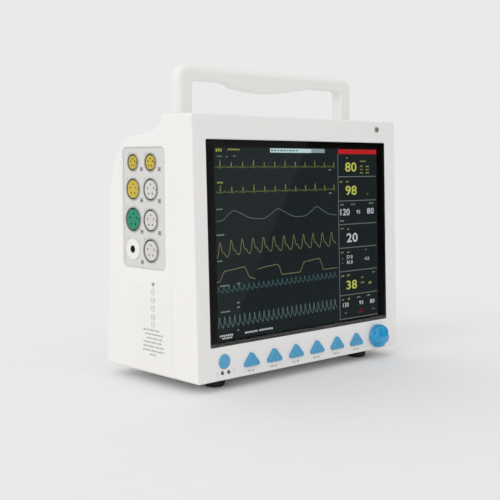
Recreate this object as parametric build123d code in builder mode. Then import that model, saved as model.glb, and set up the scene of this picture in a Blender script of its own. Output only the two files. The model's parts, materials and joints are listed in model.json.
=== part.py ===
from build123d import *
import os
from math import atan2, cos, degrees, radians, sin, tan

# A bedside patient monitor: two moulded casing halves round a 12.1 inch display,
# with a key row and a turn-and-push dial under it, sensor sockets on the left side,
# a battery bay on the right, mains and data connectors at the back, and a carrying
# handle that folds back into a scoop in the top. Millimetres, +Z up, X across the
# front, the front facing -Y. The origin is under the middle, on the surface that the
# feet stand on.

# ---------------------------------------------------------------- driving dimensions
BODY_W = 308.0          # casing width
BODY_H = 262.0          # casing height without feet
BODY_D = 152.0          # casing depth along its underside
WALL = 3.0              # casing wall
RAKE = 1.8              # degrees that the front leans back
EDGE_R = 3.0            # rounding of the casing's long edges
FRONT_EDGE_R = 1.6      # rounding round the front face
COVER_D = 35.0          # depth of the front cover
SEAM_BEVEL = 0.45       # bevel on each side of the seam
LIP_LEN = 3.0           # tongue of the front cover inside the rear casing
LIP_CLEAR = 0.1         # clearance round the tongue
FOOT_H = 11.0           # height of the rubber feet
FOOT_R = 11.0
FOOT_TAPER = 3.0        # draft of the feet, in degrees
KNOB_R = 13.4           # dial knob
KNOB_PROUD = 12.6       # front of the knob above the front face
SLIP = 0.3              # clearance round keys, lamps and doors
RUN = 0.05              # radial clearance of a running fit

# top of the rear casing: a flat strip, then a scoop for the folded handle
STRIP_END = 55.0        # depth where the flat strip ends
SCOOP_STEP = 8.5        # nearly upright step behind the strip
SCOOP_BEND, SCOOP_BEND_DROP = 72.0, 16.6   # where the scoop's slope eases out
SCOOP_DROP = 20.4       # how far the scoop's floor lies below the top
SCOOP_END = 113.5
BACK_LEAN = 6.5         # the back leans forward by this much up to BACK_BEND
BACK_BEND = 180.0

# display
WINDOW_W, WINDOW_H = 272.0, 204.0
WINDOW_V = 135.5        # height of the window's centre on the front face
WINDOW_R = 1.5
WINDOW_SINK = 1.2       # glass below the front face
WINDOW_BEVEL = 0.9      # bevel round the window's opening
WINDOW_LAP = 3.5        # glass behind the cover's rim
APERTURE_W, APERTURE_H = 249.4, 191.0
APERTURE_V = 134.5
MASK_T = 0.5
GASKET_T, GASKET_IN, GASKET_GAP = 1.5, 1.0, 2.5    # and its edges from frame and aperture
LCD_W, LCD_H, LCD_T = 276.0, 209.0, 10.0
LCD_LIP = 0.8           # metal frame in front of the panel glass
LCD_SKIN = 1.0          # metal frame round the panel
LCD_GAP = 1.0           # between the frame's opening and the aperture
CHASSIS_T = 1.2
CHASSIS_LAP = 4.0       # chassis beyond its fixing posts
CHASSIS_LOW, CHASSIS_HIGH = 38.0, 236.0
CHASSIS_R = 4.0
SHELF_X, SHELF_Z, SHELF_DEPTH = (-116.0, 40.0), 62.0, 124.0
MAIN_W, MAIN_H, MAIN_V = 208.0, 136.0, 152.0    # main board, and the height of its middle
MAIN_R, MAIN_T = 3.0, 1.6
MAIN_POST_IN, MAIN_POST_R, MAIN_POST_LEN = 6.0, 3.0, 6.0    # hexagonal standoffs
CHIP_T = 3.0
CHIPS = [                       # size, and places on the main board
    ((27.0, 27.0), [(-40.0, 170.0), (20.0, 165.0)]),
    ((18.0, 10.0), [(70.0, 175.0), (70.0, 150.0)]),
    ((40.0, 8.0), [(-70.0, 110.0), (0.0, 110.0)]),
]
SUPPLY_X, SUPPLY_DEPTH = -20.0, 90.0            # middle of the mains supply
SUPPLY_W, SUPPLY_D, SUPPLY_H, SUPPLY_R = 110.0, 60.0, 46.0, 1.5

# keys
KEY_V = 16.0            # height of the key row
KEY_MID = -1.6          # middle of the key row
KEY_PITCH = 32.55
KEY_W, KEY_H = 25.6, 13.2
KEY_POINT = 1.6         # extra height of a key's point before it is rounded
KEY_R = 2.4
KEY_PROUD = 3.4
KEY_CHAMFER = 0.9
KEY_TRAVEL = 1.2
KEY_FLANGE = 1.4        # flange round a key, behind the wall
FLANGE_T = 1.0
STEM_R = 2.6
POWER_X, POWER_V, POWER_R, POWER_PROUD = -119.2, 18.8, 7.2, 1.6
LAMP_X, LAMP_V, LAMP_R, LAMP_PROUD = (-122.3, -113.8), 7.6, 2.0, 0.2
ALARM_X, ALARM_V, ALARM_R = 121.0, BODY_H - 9.6, 3.0
ALARM_PROUD, ALARM_DOME_R = 2.4, 2.3    # domed lens, and the rounding of its dome
ALARM_FLANGE, ALARM_FLANGE_T = 1.0, 1.2
KEYBOARD_DEPTH = 13.0   # front of the key board behind the front face
KEYBOARD_T = 1.6
KEYBOARD_R = 2.0
SWITCH_T, SWITCH_W = 2.6, 6.0
SWITCH_CAP, SWITCH_CAP_R = 0.6, 1.7
SWITCH_GAP = 0.15       # between a key's stem and its switch, at rest, less the travel
FLANGE_GAP = 0.1        # between a key's flange and the wall

BOARD_X, BOARD_V = (-132.0, 130.0), (4.5, 28.5)
BOARD_POSTS = [(-98.5, 19.0), (0.0, 24.0), (98.5, 19.0)]
BOARD_POST_R = 3.0

# dial
DIAL_X, DIAL_V = 116.2, 15.9
DIAL_GAP = 0.9
DIAL_TRAVEL = 0.6
KNOB_LOBES = 8
KNOB_SCALLOP_R = 3.4    # radius of the hollows round the knob
KNOB_SCALLOP = 0.9      # how deep each hollow bites
KNOB_RIM = 2.0          # plain band round the knob's foot
KNOB_SHOULDER = 3.4     # shoulder below the knob's front
KNOB_DRAW = 1.2         # the side draws in by this much up to the shoulder
KNOB_SKIN = 4.0         # knob in front of the shaft's end
SHAFT_R = 3.0
BUSHING_R = 4.5
ENCODER_W, ENCODER_R = 14.0, 1.0
ENCODER_GAP = 1.2       # between the encoder's body and the wall
BUSHING_SINK = 1.0        # its bushing ends below the front face
ROTOR_R, ROTOR_T, ROTOR_PLAY = 5.2, 3.4, 0.2

# handle
HANDLE_FRONT = 54.8     # depth of the handle's front face
HANDLE_D = 14.6
HANDLE_IN = 113.0       # half the width between the legs
HANDLE_T = 18.8         # thickness of the legs, front view
HANDLE_BAR_T = 15.2     # thickness of the bar, front view
HANDLE_CROWN_R = 6.3    # rounding along the outer edges
HANDLE_EDGE_R = 1.6     # rounding along the inner edges
HANDLE_RISE = 35.8      # underside of the bar above the casing
HANDLE_BEND_R = 6.0     # inner corners
HANDLE_CORNER_R = 13.0  # outer corners
# the swell for the fingers under the bar: position along it, and drop
GRIP = [
    (72.0, 0.0), (52.0, 1.9), (30.0, 5.2), (8.0, 7.8),
    (-12.0, 8.6), (-35.0, 7.2), (-53.0, 4.4), (-72.0, 0.0),
]
PIVOT_DROP = 9.5        # pivot below the casing's top
PIVOT_PIN_R = 3.0
POCKET_GAP = 1.0        # between a leg and the pocket's side walls
POCKET_FLOOR_GAP = 1.1
POCKET_WALL = 2.5
POCKET_END = 115.0
STOP_GAP = 0.3          # between the upright handle and the pocket's front wall
WASHER_R = 6.5

# sensor side
RECESS_NEAR, RECESS_FAR = 50.0, 120.5
RECESS_LOW, RECESS_HIGH = 107.0, 230.0
RECESS_R = 6.0
RECESS_DEPTH = 3.0
RECESS_BEVEL = 1.2
PANEL_T = 1.0
SOCKET_NEAR, SOCKET_FAR = 74.4, 103.7
SOCKET_ROWS = (214.9, 187.6, 156.5, 125.8)
SOCKET_WALL = 1.0
SOCKET_GAP = 1.4        # ring gap between shell and core
SOCKET_PROUD = 0.9      # shell above the panel
CORE_PROUD = 0.5
SOCKET_LEN = 22.0       # end of the shells behind the casing's side
SOCKET_END_T = 2.0
CONTACT_R, CONTACT_DEPTH = 1.15, 10.0    # holes for the contacts in a core
CONTACT_COUNT, CONTACT_SPREAD = 5, 0.55  # and their circle, as a share of the core
SLOT_LONG, SLOT_WIDE = 2.4, 2.2          # keyway in a core's edge
SENSOR_BOARD_T = 1.6
CUFF_R, CUFF_BORE_R, CUFF_BORE_LEN = 11.0, 4.0, 12.0
CUFF_PROUD, CUFF_RIM_R = 1.6, 0.6
NIPPLE_LEN = 6.0
CUFF_BARREL_R, CUFF_NIPPLE_R = 6.5, 3.0
HOSE_WALL, HOSE_BEND_R = 1.5, 10.0
HOSE_END = 4.0          # from the end of the shells to the hose
PUMP_R, PUMP_LEN, PUMP_IN = 15.0, 62.0, 4.0     # pump, and its distance from the shelf's end
PUMP_GAP = 1.0          # between shelf and pump, filled by its foot
PUMP_FOOT_D, PUMP_FOOT_IN = 22.0, 6.0
PUMP_NIPPLE_AT, PUMP_NIPPLE_LEN = 12.0, 8.0
LABEL_NEAR, LABEL_FAR, LABEL_LOW, LABEL_HIGH = 39.0, 101.0, 12.5, 93.5
LABEL_T, LABEL_R = 0.3, 3.0

# battery side
DOOR_NEAR, DOOR_FAR = 46.0, 130.0
DOOR_LOW, DOOR_HIGH = 22.0, 74.0
DOOR_T = 2.8
DOOR_GRIP_W, DOOR_GRIP_H, DOOR_GRIP_DEPTH = 26.0, 11.0, 1.4
HINGE_PIN_R = 0.75
HINGE_PIN_END = 3.0     # pin held in the casing at each end
BATTERY_L, BATTERY_D, BATTERY_H = 66.0, 72.0, 40.0
BATTERY_R = 3.0
BAY_T = 1.5
BAY_FIT = 0.8
BAY_FLANGE = 3.0

# back
IO_W, IO_H, IO_V, IO_T = 168.0, 44.0, 44.0, 1.5
IO_LAP, IO_R = 4.0, 3.0
INLET_X, NETWORK_X, SIGNAL_X, EARTH_X = 58.0, 14.0, -24.0, -64.0
INLET_W, INLET_H, INLET_LEN = 27.0, 19.6, 22.0
INLET_MOUTH_W, INLET_MOUTH_H, INLET_MOUTH_LEN = 24.2, 16.4, 16.0
INLET_R = 2.0
BLADE_W, BLADE_H = 2.0, 4.0     # the inlet's three blades
BLADE_X, BLADE_V = 7.0, 2.0     # outer blades beside and below the middle one
BLADE_SHORT = 2.0               # blades end short of the mouth
PORT_W, PORT_H, PORT_LEN = 16.0, 13.4, 21.0
PORT_MOUTH_W, PORT_MOUTH_H, PORT_MOUTH_LEN = 11.8, 8.0, 13.0
PORT_LATCH_W, PORT_LATCH_H, PORT_LATCH_LAP = 5.0, 3.0, 0.6      # notch for a plug's latch
PORT_LEDGE = 1.0        # body wider than the opening, behind the plate
SIGNAL_W, SIGNAL_H, SIGNAL_LEN = 19.6, 11.0, 11.0
SIGNAL_EAR, SIGNAL_FLANGE_R, SIGNAL_FLANGE_T = 6.0, 2.0, 1.0
SIGNAL_IN, SIGNAL_SHELL, SIGNAL_SHELL_T, SIGNAL_SLANT = 3.0, 4.0, 0.5, 80.0     # D-shaped shell
SIGNAL_MOUTH_LEN = 6.0
EARTH_R, EARTH_LEN, EARTH_BASE_R, EARTH_BASE_T = 3.0, 9.0, 7.0, 2.0
EARTH_NUT_T, EARTH_NUT_R = 3.0, 6.0
FLANGE_W, FLANGE_OUT = 2.0, 2.4
SPEAKER_X, SPEAKER_V, SPEAKER_R, SPEAKER_T = -96.0, 104.0, 19.0, 14.0
SPEAKER_RIM_W, SPEAKER_RIM_T, SPEAKER_BASKET_T = 2.5, 2.0, 4.0
SPEAKER_MAGNET_R = 11.4
GRILLE_ROWS, GRILLE_SHORT = 5, 5.0      # slots over the speaker
SLOT_W, SLOT_PITCH = 2.6, 6.0
VENT_V, VENT_H, VENT_COUNT = 150.0, 34.0, 21

# fixings
POST_R, SCREW_R, SCREW_HEAD_R, SCREW_HEAD_T = 4.5, 1.5, 2.8, 2.2
POST_SIDE_IN, POST_TOP_IN = 10.5, 13.0   # post centres inside the casing's sides and top
POST_X, POST_LOW, POST_HIGH = BODY_W / 2 - POST_SIDE_IN, 13.0, BODY_H - POST_TOP_IN
BOSS_LEN = 8.0          # casing boss between seam and screw head
SCREW_BITE = 10.0
BOARD_BITE = 3.0        # wall left in front of the inner screws' ends
CROSS_LONG, CROSS_WIDE, CROSS_DEPTH = 3.2, 0.8, 1.2     # recess in a screw's head
DISPLAY_POST_IN = 9.0
DISPLAY_POST_X, DISPLAY_POST_V, DISPLAY_POST_R = BODY_W / 2 - DISPLAY_POST_IN, (60.0, 214.0), 3.8
FRONT_FOOT = (110.3, 25.6)
REAR_FOOT = (80.0, 126.0)
MOUNT_PITCH = 75.0
MOUNT_DEPTH = 90.0
MOUNT_HOLE_R = 2.0
INSERT_R, INSERT_LEN = 3.1, 7.0
FOOT_STEM_R = 3.0
FOOT_EDGE_R = 3.0       # rounding under a foot

# ------------------------------------------------------------------ reference planes
FRONT_Y = -(BODY_D + EARTH_LEN + EARTH_BASE_T - WALL - KNOB_PROUD) / 2
TOP_Z = FOOT_H + BODY_H
LEAN = degrees(atan2(BACK_LEAN, BACK_BEND))
FRONT = Plane(
    origin=(0, FRONT_Y, FOOT_H), x_dir=(1, 0, 0),
    z_dir=(0, -cos(radians(RAKE)), sin(radians(RAKE))),
)
BACK = Plane(
    origin=(0, FRONT_Y + BODY_D, FOOT_H), x_dir=(-1, 0, 0),
    z_dir=(0, cos(radians(LEAN)), sin(radians(LEAN))),
)
PROFILE = Plane(origin=(0, FRONT_Y, FOOT_H), x_dir=(0, 1, 0), z_dir=(1, 0, 0))
LEFT = Plane(origin=(-BODY_W / 2, FRONT_Y, FOOT_H), x_dir=(0, -1, 0), z_dir=(-1, 0, 0))
RIGHT = Plane(origin=(BODY_W / 2, FRONT_Y, FOOT_H), x_dir=(0, 1, 0), z_dir=(1, 0, 0))
UNDER = Plane(origin=(0, FRONT_Y, FOOT_H), x_dir=(1, 0, 0), z_dir=(0, 0, -1))
SEAM = FRONT.offset(-COVER_D)
PIVOT_Y = FRONT_Y + HANDLE_FRONT + HANDLE_D / 2
PIVOT_Z = TOP_Z - PIVOT_DROP
HANDLE_OUT = HANDLE_IN + HANDLE_T
HANDLE_TOP = TOP_Z + HANDLE_RISE + HANDLE_BAR_T

# depth, height and rounding of each corner of the casing's side outline
OUTLINE = [
    (0.0, 0.0, 0.0),
    (BODY_H * tan(radians(RAKE)), BODY_H, 0.0),
    (STRIP_END, BODY_H, 2.5),
    (STRIP_END + 1.5, BODY_H - SCOOP_STEP, 9.0),
    (SCOOP_BEND, BODY_H - SCOOP_BEND_DROP, 40.0),
    (SCOOP_END, BODY_H - SCOOP_DROP, 9.0),
    (BODY_D - BACK_LEAN - 10.0, BODY_H - SCOOP_DROP - 22.0, 28.0),
    (BODY_D - BACK_LEAN, BACK_BEND, 110.0),
    (BODY_D, 0.0, 7.0),
]

os.makedirs("parts", exist_ok=True)


def casing_block(inset=0.0):
    """The casing's outer form as a solid, drawn in by inset on every side."""
    with BuildPart() as block:
        with BuildSketch(PROFILE) as outline:
            with BuildLine():
                Polyline(*[(depth, height) for depth, height, _ in OUTLINE], close=True)
            make_face()
            for depth, height, radius in OUTLINE:
                if radius:
                    corner = outline.vertices().sort_by_distance((depth, height))[0]
                    fillet(corner, radius)
            if inset:
                offset(amount=-inset, kind=Kind.INTERSECTION)
        extrude(amount=BODY_W / 2 - inset, both=True)
    return block.part


def between(shape, front_plane, back_plane):
    """The slab of shape behind front_plane and in front of back_plane."""
    slab = split(shape, bisect_by=front_plane, keep=Keep.BOTTOM)
    return split(slab, bisect_by=back_plane, keep=Keep.TOP)


def on_side(edge, plane):
    """True if an edge lies in a plane."""
    return abs(plane.to_local_coords(edge.center()).Z) < 0.01


# --------------------------------------------------------------- the casing's forms
with BuildPart() as form:
    add(casing_block())
    long_edges = [
        e for e in form.edges()
        if abs(abs(e.center().X) - BODY_W / 2) < 0.01 and not on_side(e, FRONT)
    ]
    fillet(long_edges, EDGE_R)
    front_edges = [e for e in form.edges() if on_side(e, FRONT)]
    fillet(front_edges, FRONT_EDGE_R)
outer = form.part
cavity = casing_block(WALL)
tongue = between(casing_block(WALL / 2 + LIP_CLEAR), SEAM, SEAM.offset(-LIP_LEN)) - cavity
rebate = between(casing_block(WALL / 2), SEAM, SEAM.offset(-LIP_LEN - SLIP))

CASE_POSTS = [(sx * POST_X, v) for sx in (-1, 1) for v in (POST_LOW, POST_HIGH)]
DISPLAY_POSTS = [(sx * DISPLAY_POST_X, v) for sx in (-1, 1) for v in DISPLAY_POST_V]
KEY_SPOTS = [(KEY_MID + (i - 2.5) * KEY_PITCH, KEY_V) for i in range(6)]
CHASSIS_DEPTH = WALL + MASK_T + GASKET_T + LCD_T
SWITCH_TOP = KEYBOARD_DEPTH - SWITCH_T
STEM_END = SWITCH_TOP - SWITCH_GAP - KEY_TRAVEL
FLANGE_DEPTH = WALL + FLANGE_GAP


def key_outline(grow=0.0):
    """Face of a function key's rounded triangle, about its own middle."""
    with BuildSketch() as outline:
        with BuildLine():
            low, point = -KEY_H / 2, KEY_H / 2 + KEY_POINT
            Polyline((-KEY_W / 2, low), (KEY_W / 2, low), (0, point), close=True)
        make_face()
        fillet(outline.vertices(), KEY_R)
        if grow:
            offset(amount=grow)
    return outline.sketch


# ---------------------------------------------------------------------- front cover
with BuildPart() as front_bezel:
    add(split(outer, bisect_by=SEAM, keep=Keep.TOP))
    chamfer([e for e in front_bezel.edges() if on_side(e, SEAM)], SEAM_BEVEL)
    add(cavity, mode=Mode.SUBTRACT)
    add(tongue)
    # window opening, and the seat behind its rim
    with BuildSketch(FRONT):
        with Locations((0, WINDOW_V)):
            RectangleRounded(WINDOW_W, WINDOW_H, WINDOW_R)
    extrude(amount=-WALL, mode=Mode.SUBTRACT)
    rim = [
        e for e in front_bezel.edges()
        if on_side(e, FRONT) and abs(e.center().X) < WINDOW_W / 2 + 1
        and abs(FRONT.to_local_coords(e.center()).Y - WINDOW_V) < WINDOW_H / 2 + 1
    ]
    chamfer(rim, WINDOW_BEVEL)
    with BuildSketch(FRONT.offset(-WINDOW_SINK)):
        with Locations((0, WINDOW_V)):
            RectangleRounded(WINDOW_W + 2 * WINDOW_LAP + SLIP, WINDOW_H + 2 * WINDOW_LAP + SLIP, WINDOW_R)
    extrude(amount=-WALL, mode=Mode.SUBTRACT)
    # holes for keys, power button, dial, lamps and alarm lens
    with BuildSketch(FRONT):
        with Locations(*KEY_SPOTS):
            add(key_outline(SLIP))
        with Locations((POWER_X, POWER_V)):
            Circle(POWER_R + SLIP)
        with Locations((DIAL_X, DIAL_V)):
            Circle(BUSHING_R + SLIP)
        with Locations(*[(x, LAMP_V) for x in LAMP_X]):
            Circle(LAMP_R + RUN)
        with Locations((ALARM_X, ALARM_V)):
            Circle(ALARM_R + RUN)
    extrude(amount=-WALL, mode=Mode.SUBTRACT)
    # posts for the casing screws, the display and the key board
    with BuildSketch(FRONT.offset(-WALL)):
        with Locations(*CASE_POSTS):
            Circle(POST_R)
    extrude(amount=-(COVER_D - WALL))
    with BuildSketch(FRONT.offset(-WALL)):
        with Locations(*DISPLAY_POSTS):
            Circle(DISPLAY_POST_R)
    extrude(amount=-(CHASSIS_DEPTH - WALL))
    with BuildSketch(FRONT.offset(-WALL)):
        with Locations(*BOARD_POSTS):
            Circle(BOARD_POST_R)
    extrude(amount=-(KEYBOARD_DEPTH - WALL))
    with BuildSketch(FRONT.offset(-COVER_D)):
        with Locations(*CASE_POSTS):
            Circle(SCREW_R)
    extrude(amount=SCREW_BITE + 2, mode=Mode.SUBTRACT)
    with BuildSketch(FRONT.offset(-CHASSIS_DEPTH)):
        with Locations(*DISPLAY_POSTS):
            Circle(SCREW_R)
    extrude(amount=CHASSIS_DEPTH - WALL - 1, mode=Mode.SUBTRACT)
    with BuildSketch(FRONT.offset(-KEYBOARD_DEPTH)):
        with Locations(*BOARD_POSTS):
            Circle(SCREW_R)
    extrude(amount=KEYBOARD_DEPTH - WALL - 1, mode=Mode.SUBTRACT)
    # holes for the stems of the front feet
    with BuildSketch(UNDER):
        with Locations(*[(sx * FRONT_FOOT[0], -FRONT_FOOT[1]) for sx in (-1, 1)]):
            Circle(FOOT_STEM_R)
    extrude(amount=-WALL, mode=Mode.SUBTRACT)
front_bezel.part.label = "front_bezel"
export_step(front_bezel.part, "parts/front_bezel.step")

# ------------------------------------------------------------------ display assembly
with BuildPart() as display_window:
    with BuildSketch(FRONT.offset(-WINDOW_SINK)):
        with Locations((0, WINDOW_V)):
            RectangleRounded(WINDOW_W + 2 * WINDOW_LAP, WINDOW_H + 2 * WINDOW_LAP, WINDOW_R)
    extrude(amount=-(WALL - WINDOW_SINK))
display_window.part.label = "display_window"
export_step(display_window.part, "parts/display_window.step")

with BuildPart() as display_mask:
    with BuildSketch(FRONT.offset(-WALL)):
        with Locations((0, WINDOW_V)):
            RectangleRounded(WINDOW_W + 2 * WINDOW_LAP, WINDOW_H + 2 * WINDOW_LAP, WINDOW_R)
        with Locations((0, APERTURE_V)):
            RectangleRounded(APERTURE_W, APERTURE_H, WINDOW_R, mode=Mode.SUBTRACT)
    extrude(amount=-MASK_T)
display_mask.part.label = "display_mask"
export_step(display_mask.part, "parts/display_mask.step")

with BuildPart() as window_gasket:
    with BuildSketch(FRONT.offset(-WALL - MASK_T)):
        with Locations((0, APERTURE_V)):
            Rectangle(LCD_W - 2 * GASKET_IN, LCD_H - 2 * GASKET_IN)
            Rectangle(
                APERTURE_W + 2 * GASKET_GAP, APERTURE_H + 2 * GASKET_GAP, mode=Mode.SUBTRACT
            )
    extrude(amount=-GASKET_T)
window_gasket.part.label = "window_gasket"
export_step(window_gasket.part, "parts/window_gasket.step")

with BuildPart() as lcd_frame:
    with BuildSketch(FRONT.offset(-CHASSIS_DEPTH)):
        with Locations((0, APERTURE_V)):
            Rectangle(LCD_W, LCD_H)
    extrude(amount=LCD_T)
    with BuildSketch(FRONT.offset(-CHASSIS_DEPTH)):
        with Locations((0, APERTURE_V)):
            Rectangle(LCD_W - 2 * LCD_SKIN, LCD_H - 2 * LCD_SKIN)
    extrude(amount=LCD_T - LCD_LIP, mode=Mode.SUBTRACT)
    with BuildSketch(FRONT.offset(-CHASSIS_DEPTH)):
        with Locations((0, APERTURE_V)):
            Rectangle(APERTURE_W + 2 * LCD_GAP, APERTURE_H + 2 * LCD_GAP)
    extrude(amount=LCD_T, mode=Mode.SUBTRACT)
lcd_frame.part.label = "lcd_frame"
export_step(lcd_frame.part, "parts/lcd_frame.step")

with BuildPart() as lcd_panel:
    with BuildSketch(FRONT.offset(-CHASSIS_DEPTH)):
        with Locations((0, APERTURE_V)):
            Rectangle(LCD_W - 2 * LCD_SKIN, LCD_H - 2 * LCD_SKIN)
    extrude(amount=LCD_T - LCD_LIP)
lcd_panel.part.label = "lcd_panel"
export_step(lcd_panel.part, "parts/lcd_panel.step")

with BuildPart() as chassis:
    with BuildSketch(FRONT.offset(-CHASSIS_DEPTH)):
        with Locations((0, (CHASSIS_LOW + CHASSIS_HIGH) / 2)):
            RectangleRounded(2 * (DISPLAY_POST_X + CHASSIS_LAP), CHASSIS_HIGH - CHASSIS_LOW, CHASSIS_R)
        with Locations(*DISPLAY_POSTS):
            Circle(SCREW_R, mode=Mode.SUBTRACT)
    extrude(amount=-CHASSIS_T)
    # shelf folded back from the plate, for the supply below and the pump above
    shelf_start = CHASSIS_DEPTH + SHELF_Z * tan(radians(RAKE)) + CHASSIS_T / 2
    with BuildSketch(PROFILE.offset(SHELF_X[0])):
        with Locations(((shelf_start + SHELF_DEPTH) / 2, SHELF_Z + CHASSIS_T / 2)):
            Rectangle(SHELF_DEPTH - shelf_start, CHASSIS_T)
    extrude(amount=SHELF_X[1] - SHELF_X[0])
    # standoffs for the main board
    with BuildSketch(FRONT.offset(-CHASSIS_DEPTH - CHASSIS_T)):
        with Locations((0, MAIN_V)):
            with GridLocations(MAIN_W - 2 * MAIN_POST_IN, MAIN_H - 2 * MAIN_POST_IN, 2, 2):
                RegularPolygon(MAIN_POST_R, 6)
    extrude(amount=-MAIN_POST_LEN)
chassis.part.label = "chassis"
export_step(chassis.part, "parts/chassis.step")

with BuildPart() as main_board:
    with BuildSketch(FRONT.offset(-CHASSIS_DEPTH - CHASSIS_T - MAIN_POST_LEN)):
        with Locations((0, MAIN_V)):
            RectangleRounded(MAIN_W, MAIN_H, MAIN_R)
    extrude(amount=-MAIN_T)
    with BuildSketch(FRONT.offset(-CHASSIS_DEPTH - CHASSIS_T - MAIN_POST_LEN - MAIN_T)):
        for chip_size, chip_spots in CHIPS:
            with Locations(*chip_spots):
                Rectangle(*chip_size)
    extrude(amount=-CHIP_T)
main_board.part.label = "main_board"
export_step(main_board.part, "parts/main_board.step")

# ------------------------------------------------------------- power button and keys
for name, spot, shape, proud in [("power_button", (POWER_X, POWER_V), None, POWER_PROUD)] + [
    (f"key_{i + 1}", spot, key_outline(), KEY_PROUD) for i, spot in enumerate(KEY_SPOTS)
]:
    flange_shape = None if shape is None else key_outline(KEY_FLANGE)
    with BuildPart() as key:
        with BuildSketch(FRONT.offset(-FLANGE_DEPTH)):
            with Locations(spot):
                if shape is None:
                    Circle(POWER_R)
                else:
                    add(shape)
        extrude(amount=FLANGE_DEPTH + proud)
        top = key.faces().sort_by(Axis(FRONT.origin, FRONT.z_dir))[-1]
        chamfer(top.edges(), KEY_CHAMFER)
        with BuildSketch(FRONT.offset(-FLANGE_DEPTH)):
            with Locations(spot):
                if shape is None:
                    Circle(POWER_R + KEY_FLANGE)
                else:
                    add(flange_shape)
        extrude(amount=-FLANGE_T)
        with BuildSketch(FRONT.offset(-FLANGE_DEPTH - FLANGE_T)):
            with Locations(spot):
                Circle(STEM_R)
        extrude(amount=-(STEM_END - FLANGE_DEPTH - FLANGE_T))
    key.part.label = name
    export_step(key.part, f"parts/{name}.step")

with BuildPart() as key_board:
    with BuildSketch(FRONT.offset(-KEYBOARD_DEPTH)):
        with Locations(((BOARD_X[0] + BOARD_X[1]) / 2, (BOARD_V[0] + BOARD_V[1]) / 2)):
            RectangleRounded(BOARD_X[1] - BOARD_X[0], BOARD_V[1] - BOARD_V[0], KEYBOARD_R)
        with Locations(*BOARD_POSTS):
            Circle(SCREW_R, mode=Mode.SUBTRACT)
    extrude(amount=-KEYBOARD_T)
key_board.part.label = "key_board"
export_step(key_board.part, "parts/key_board.step")

with BuildPart() as key_switches:
    with BuildSketch(FRONT.offset(-KEYBOARD_DEPTH)):
        with Locations(*KEY_SPOTS, (POWER_X, POWER_V)):
            Rectangle(SWITCH_W, SWITCH_W)
    extrude(amount=SWITCH_T - SWITCH_CAP)
    with BuildSketch(FRONT.offset(-KEYBOARD_DEPTH)):
        with Locations(*KEY_SPOTS, (POWER_X, POWER_V)):
            Circle(SWITCH_CAP_R)
    extrude(amount=SWITCH_T)
key_switches.part.label = "key_switches"
export_step(key_switches.part, "parts/key_switches.step")

with BuildPart() as status_lights:
    with BuildSketch(FRONT.offset(-KEYBOARD_DEPTH)):
        with Locations(*[(x, LAMP_V) for x in LAMP_X]):
            Circle(LAMP_R)
    extrude(amount=KEYBOARD_DEPTH + LAMP_PROUD)
status_lights.part.label = "status_lights"
export_step(status_lights.part, "parts/status_lights.step")

with BuildPart() as alarm_lens:
    with BuildSketch(FRONT.offset(-WALL)):
        with Locations((ALARM_X, ALARM_V)):
            Circle(ALARM_R)
    extrude(amount=WALL + ALARM_PROUD)
    fillet(alarm_lens.faces().sort_by(Axis(FRONT.origin, FRONT.z_dir))[-1].edges(), ALARM_DOME_R)
    with BuildSketch(FRONT.offset(-WALL)):
        with Locations((ALARM_X, ALARM_V)):
            Circle(ALARM_R + ALARM_FLANGE)
    extrude(amount=-ALARM_FLANGE_T)
alarm_lens.part.label = "alarm_lens"
export_step(alarm_lens.part, "parts/alarm_lens.step")

# ------------------------------------------------------------------------------ dial
DIAL = Plane(
    origin=FRONT.from_local_coords(Vector(DIAL_X, DIAL_V, 0)), x_dir=(1, 0, 0), z_dir=FRONT.z_dir
)
ROTOR_BACK = KEYBOARD_DEPTH - DIAL_TRAVEL - ROTOR_PLAY

with BuildPart() as encoder_housing:
    with BuildSketch(DIAL.offset(-KEYBOARD_DEPTH)):
        RectangleRounded(ENCODER_W, ENCODER_W, ENCODER_R)
    extrude(amount=KEYBOARD_DEPTH - WALL - ENCODER_GAP)
    with BuildSketch(DIAL.offset(-WALL - ENCODER_GAP)):
        Circle(BUSHING_R)
    extrude(amount=WALL + ENCODER_GAP - BUSHING_SINK)
    with BuildSketch(DIAL.offset(-KEYBOARD_DEPTH)):
        Circle(ROTOR_R + RUN)
    extrude(amount=KEYBOARD_DEPTH - ROTOR_BACK + ROTOR_T + ROTOR_PLAY, mode=Mode.SUBTRACT)
    with BuildSketch(DIAL.offset(-KEYBOARD_DEPTH)):
        Circle(SHAFT_R + RUN)
    extrude(amount=KEYBOARD_DEPTH, mode=Mode.SUBTRACT)
encoder_housing.part.label = "encoder_housing"
export_step(encoder_housing.part, "parts/encoder_housing.step")

with BuildPart() as encoder_rotor:
    with BuildSketch(DIAL.offset(-ROTOR_BACK)):
        Circle(ROTOR_R)
        Circle(SHAFT_R + RUN, mode=Mode.SUBTRACT)
    extrude(amount=ROTOR_T)
encoder_rotor.part.label = "encoder_rotor"
export_step(encoder_rotor.part, "parts/encoder_rotor.step")

with BuildPart() as encoder_shaft:
    with BuildSketch(DIAL.offset(-ROTOR_BACK)):
        Circle(SHAFT_R)
    extrude(amount=ROTOR_BACK + KNOB_PROUD - KNOB_SKIN)
encoder_shaft.part.label = "encoder_shaft"
export_step(encoder_shaft.part, "parts/encoder_shaft.step")

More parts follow.
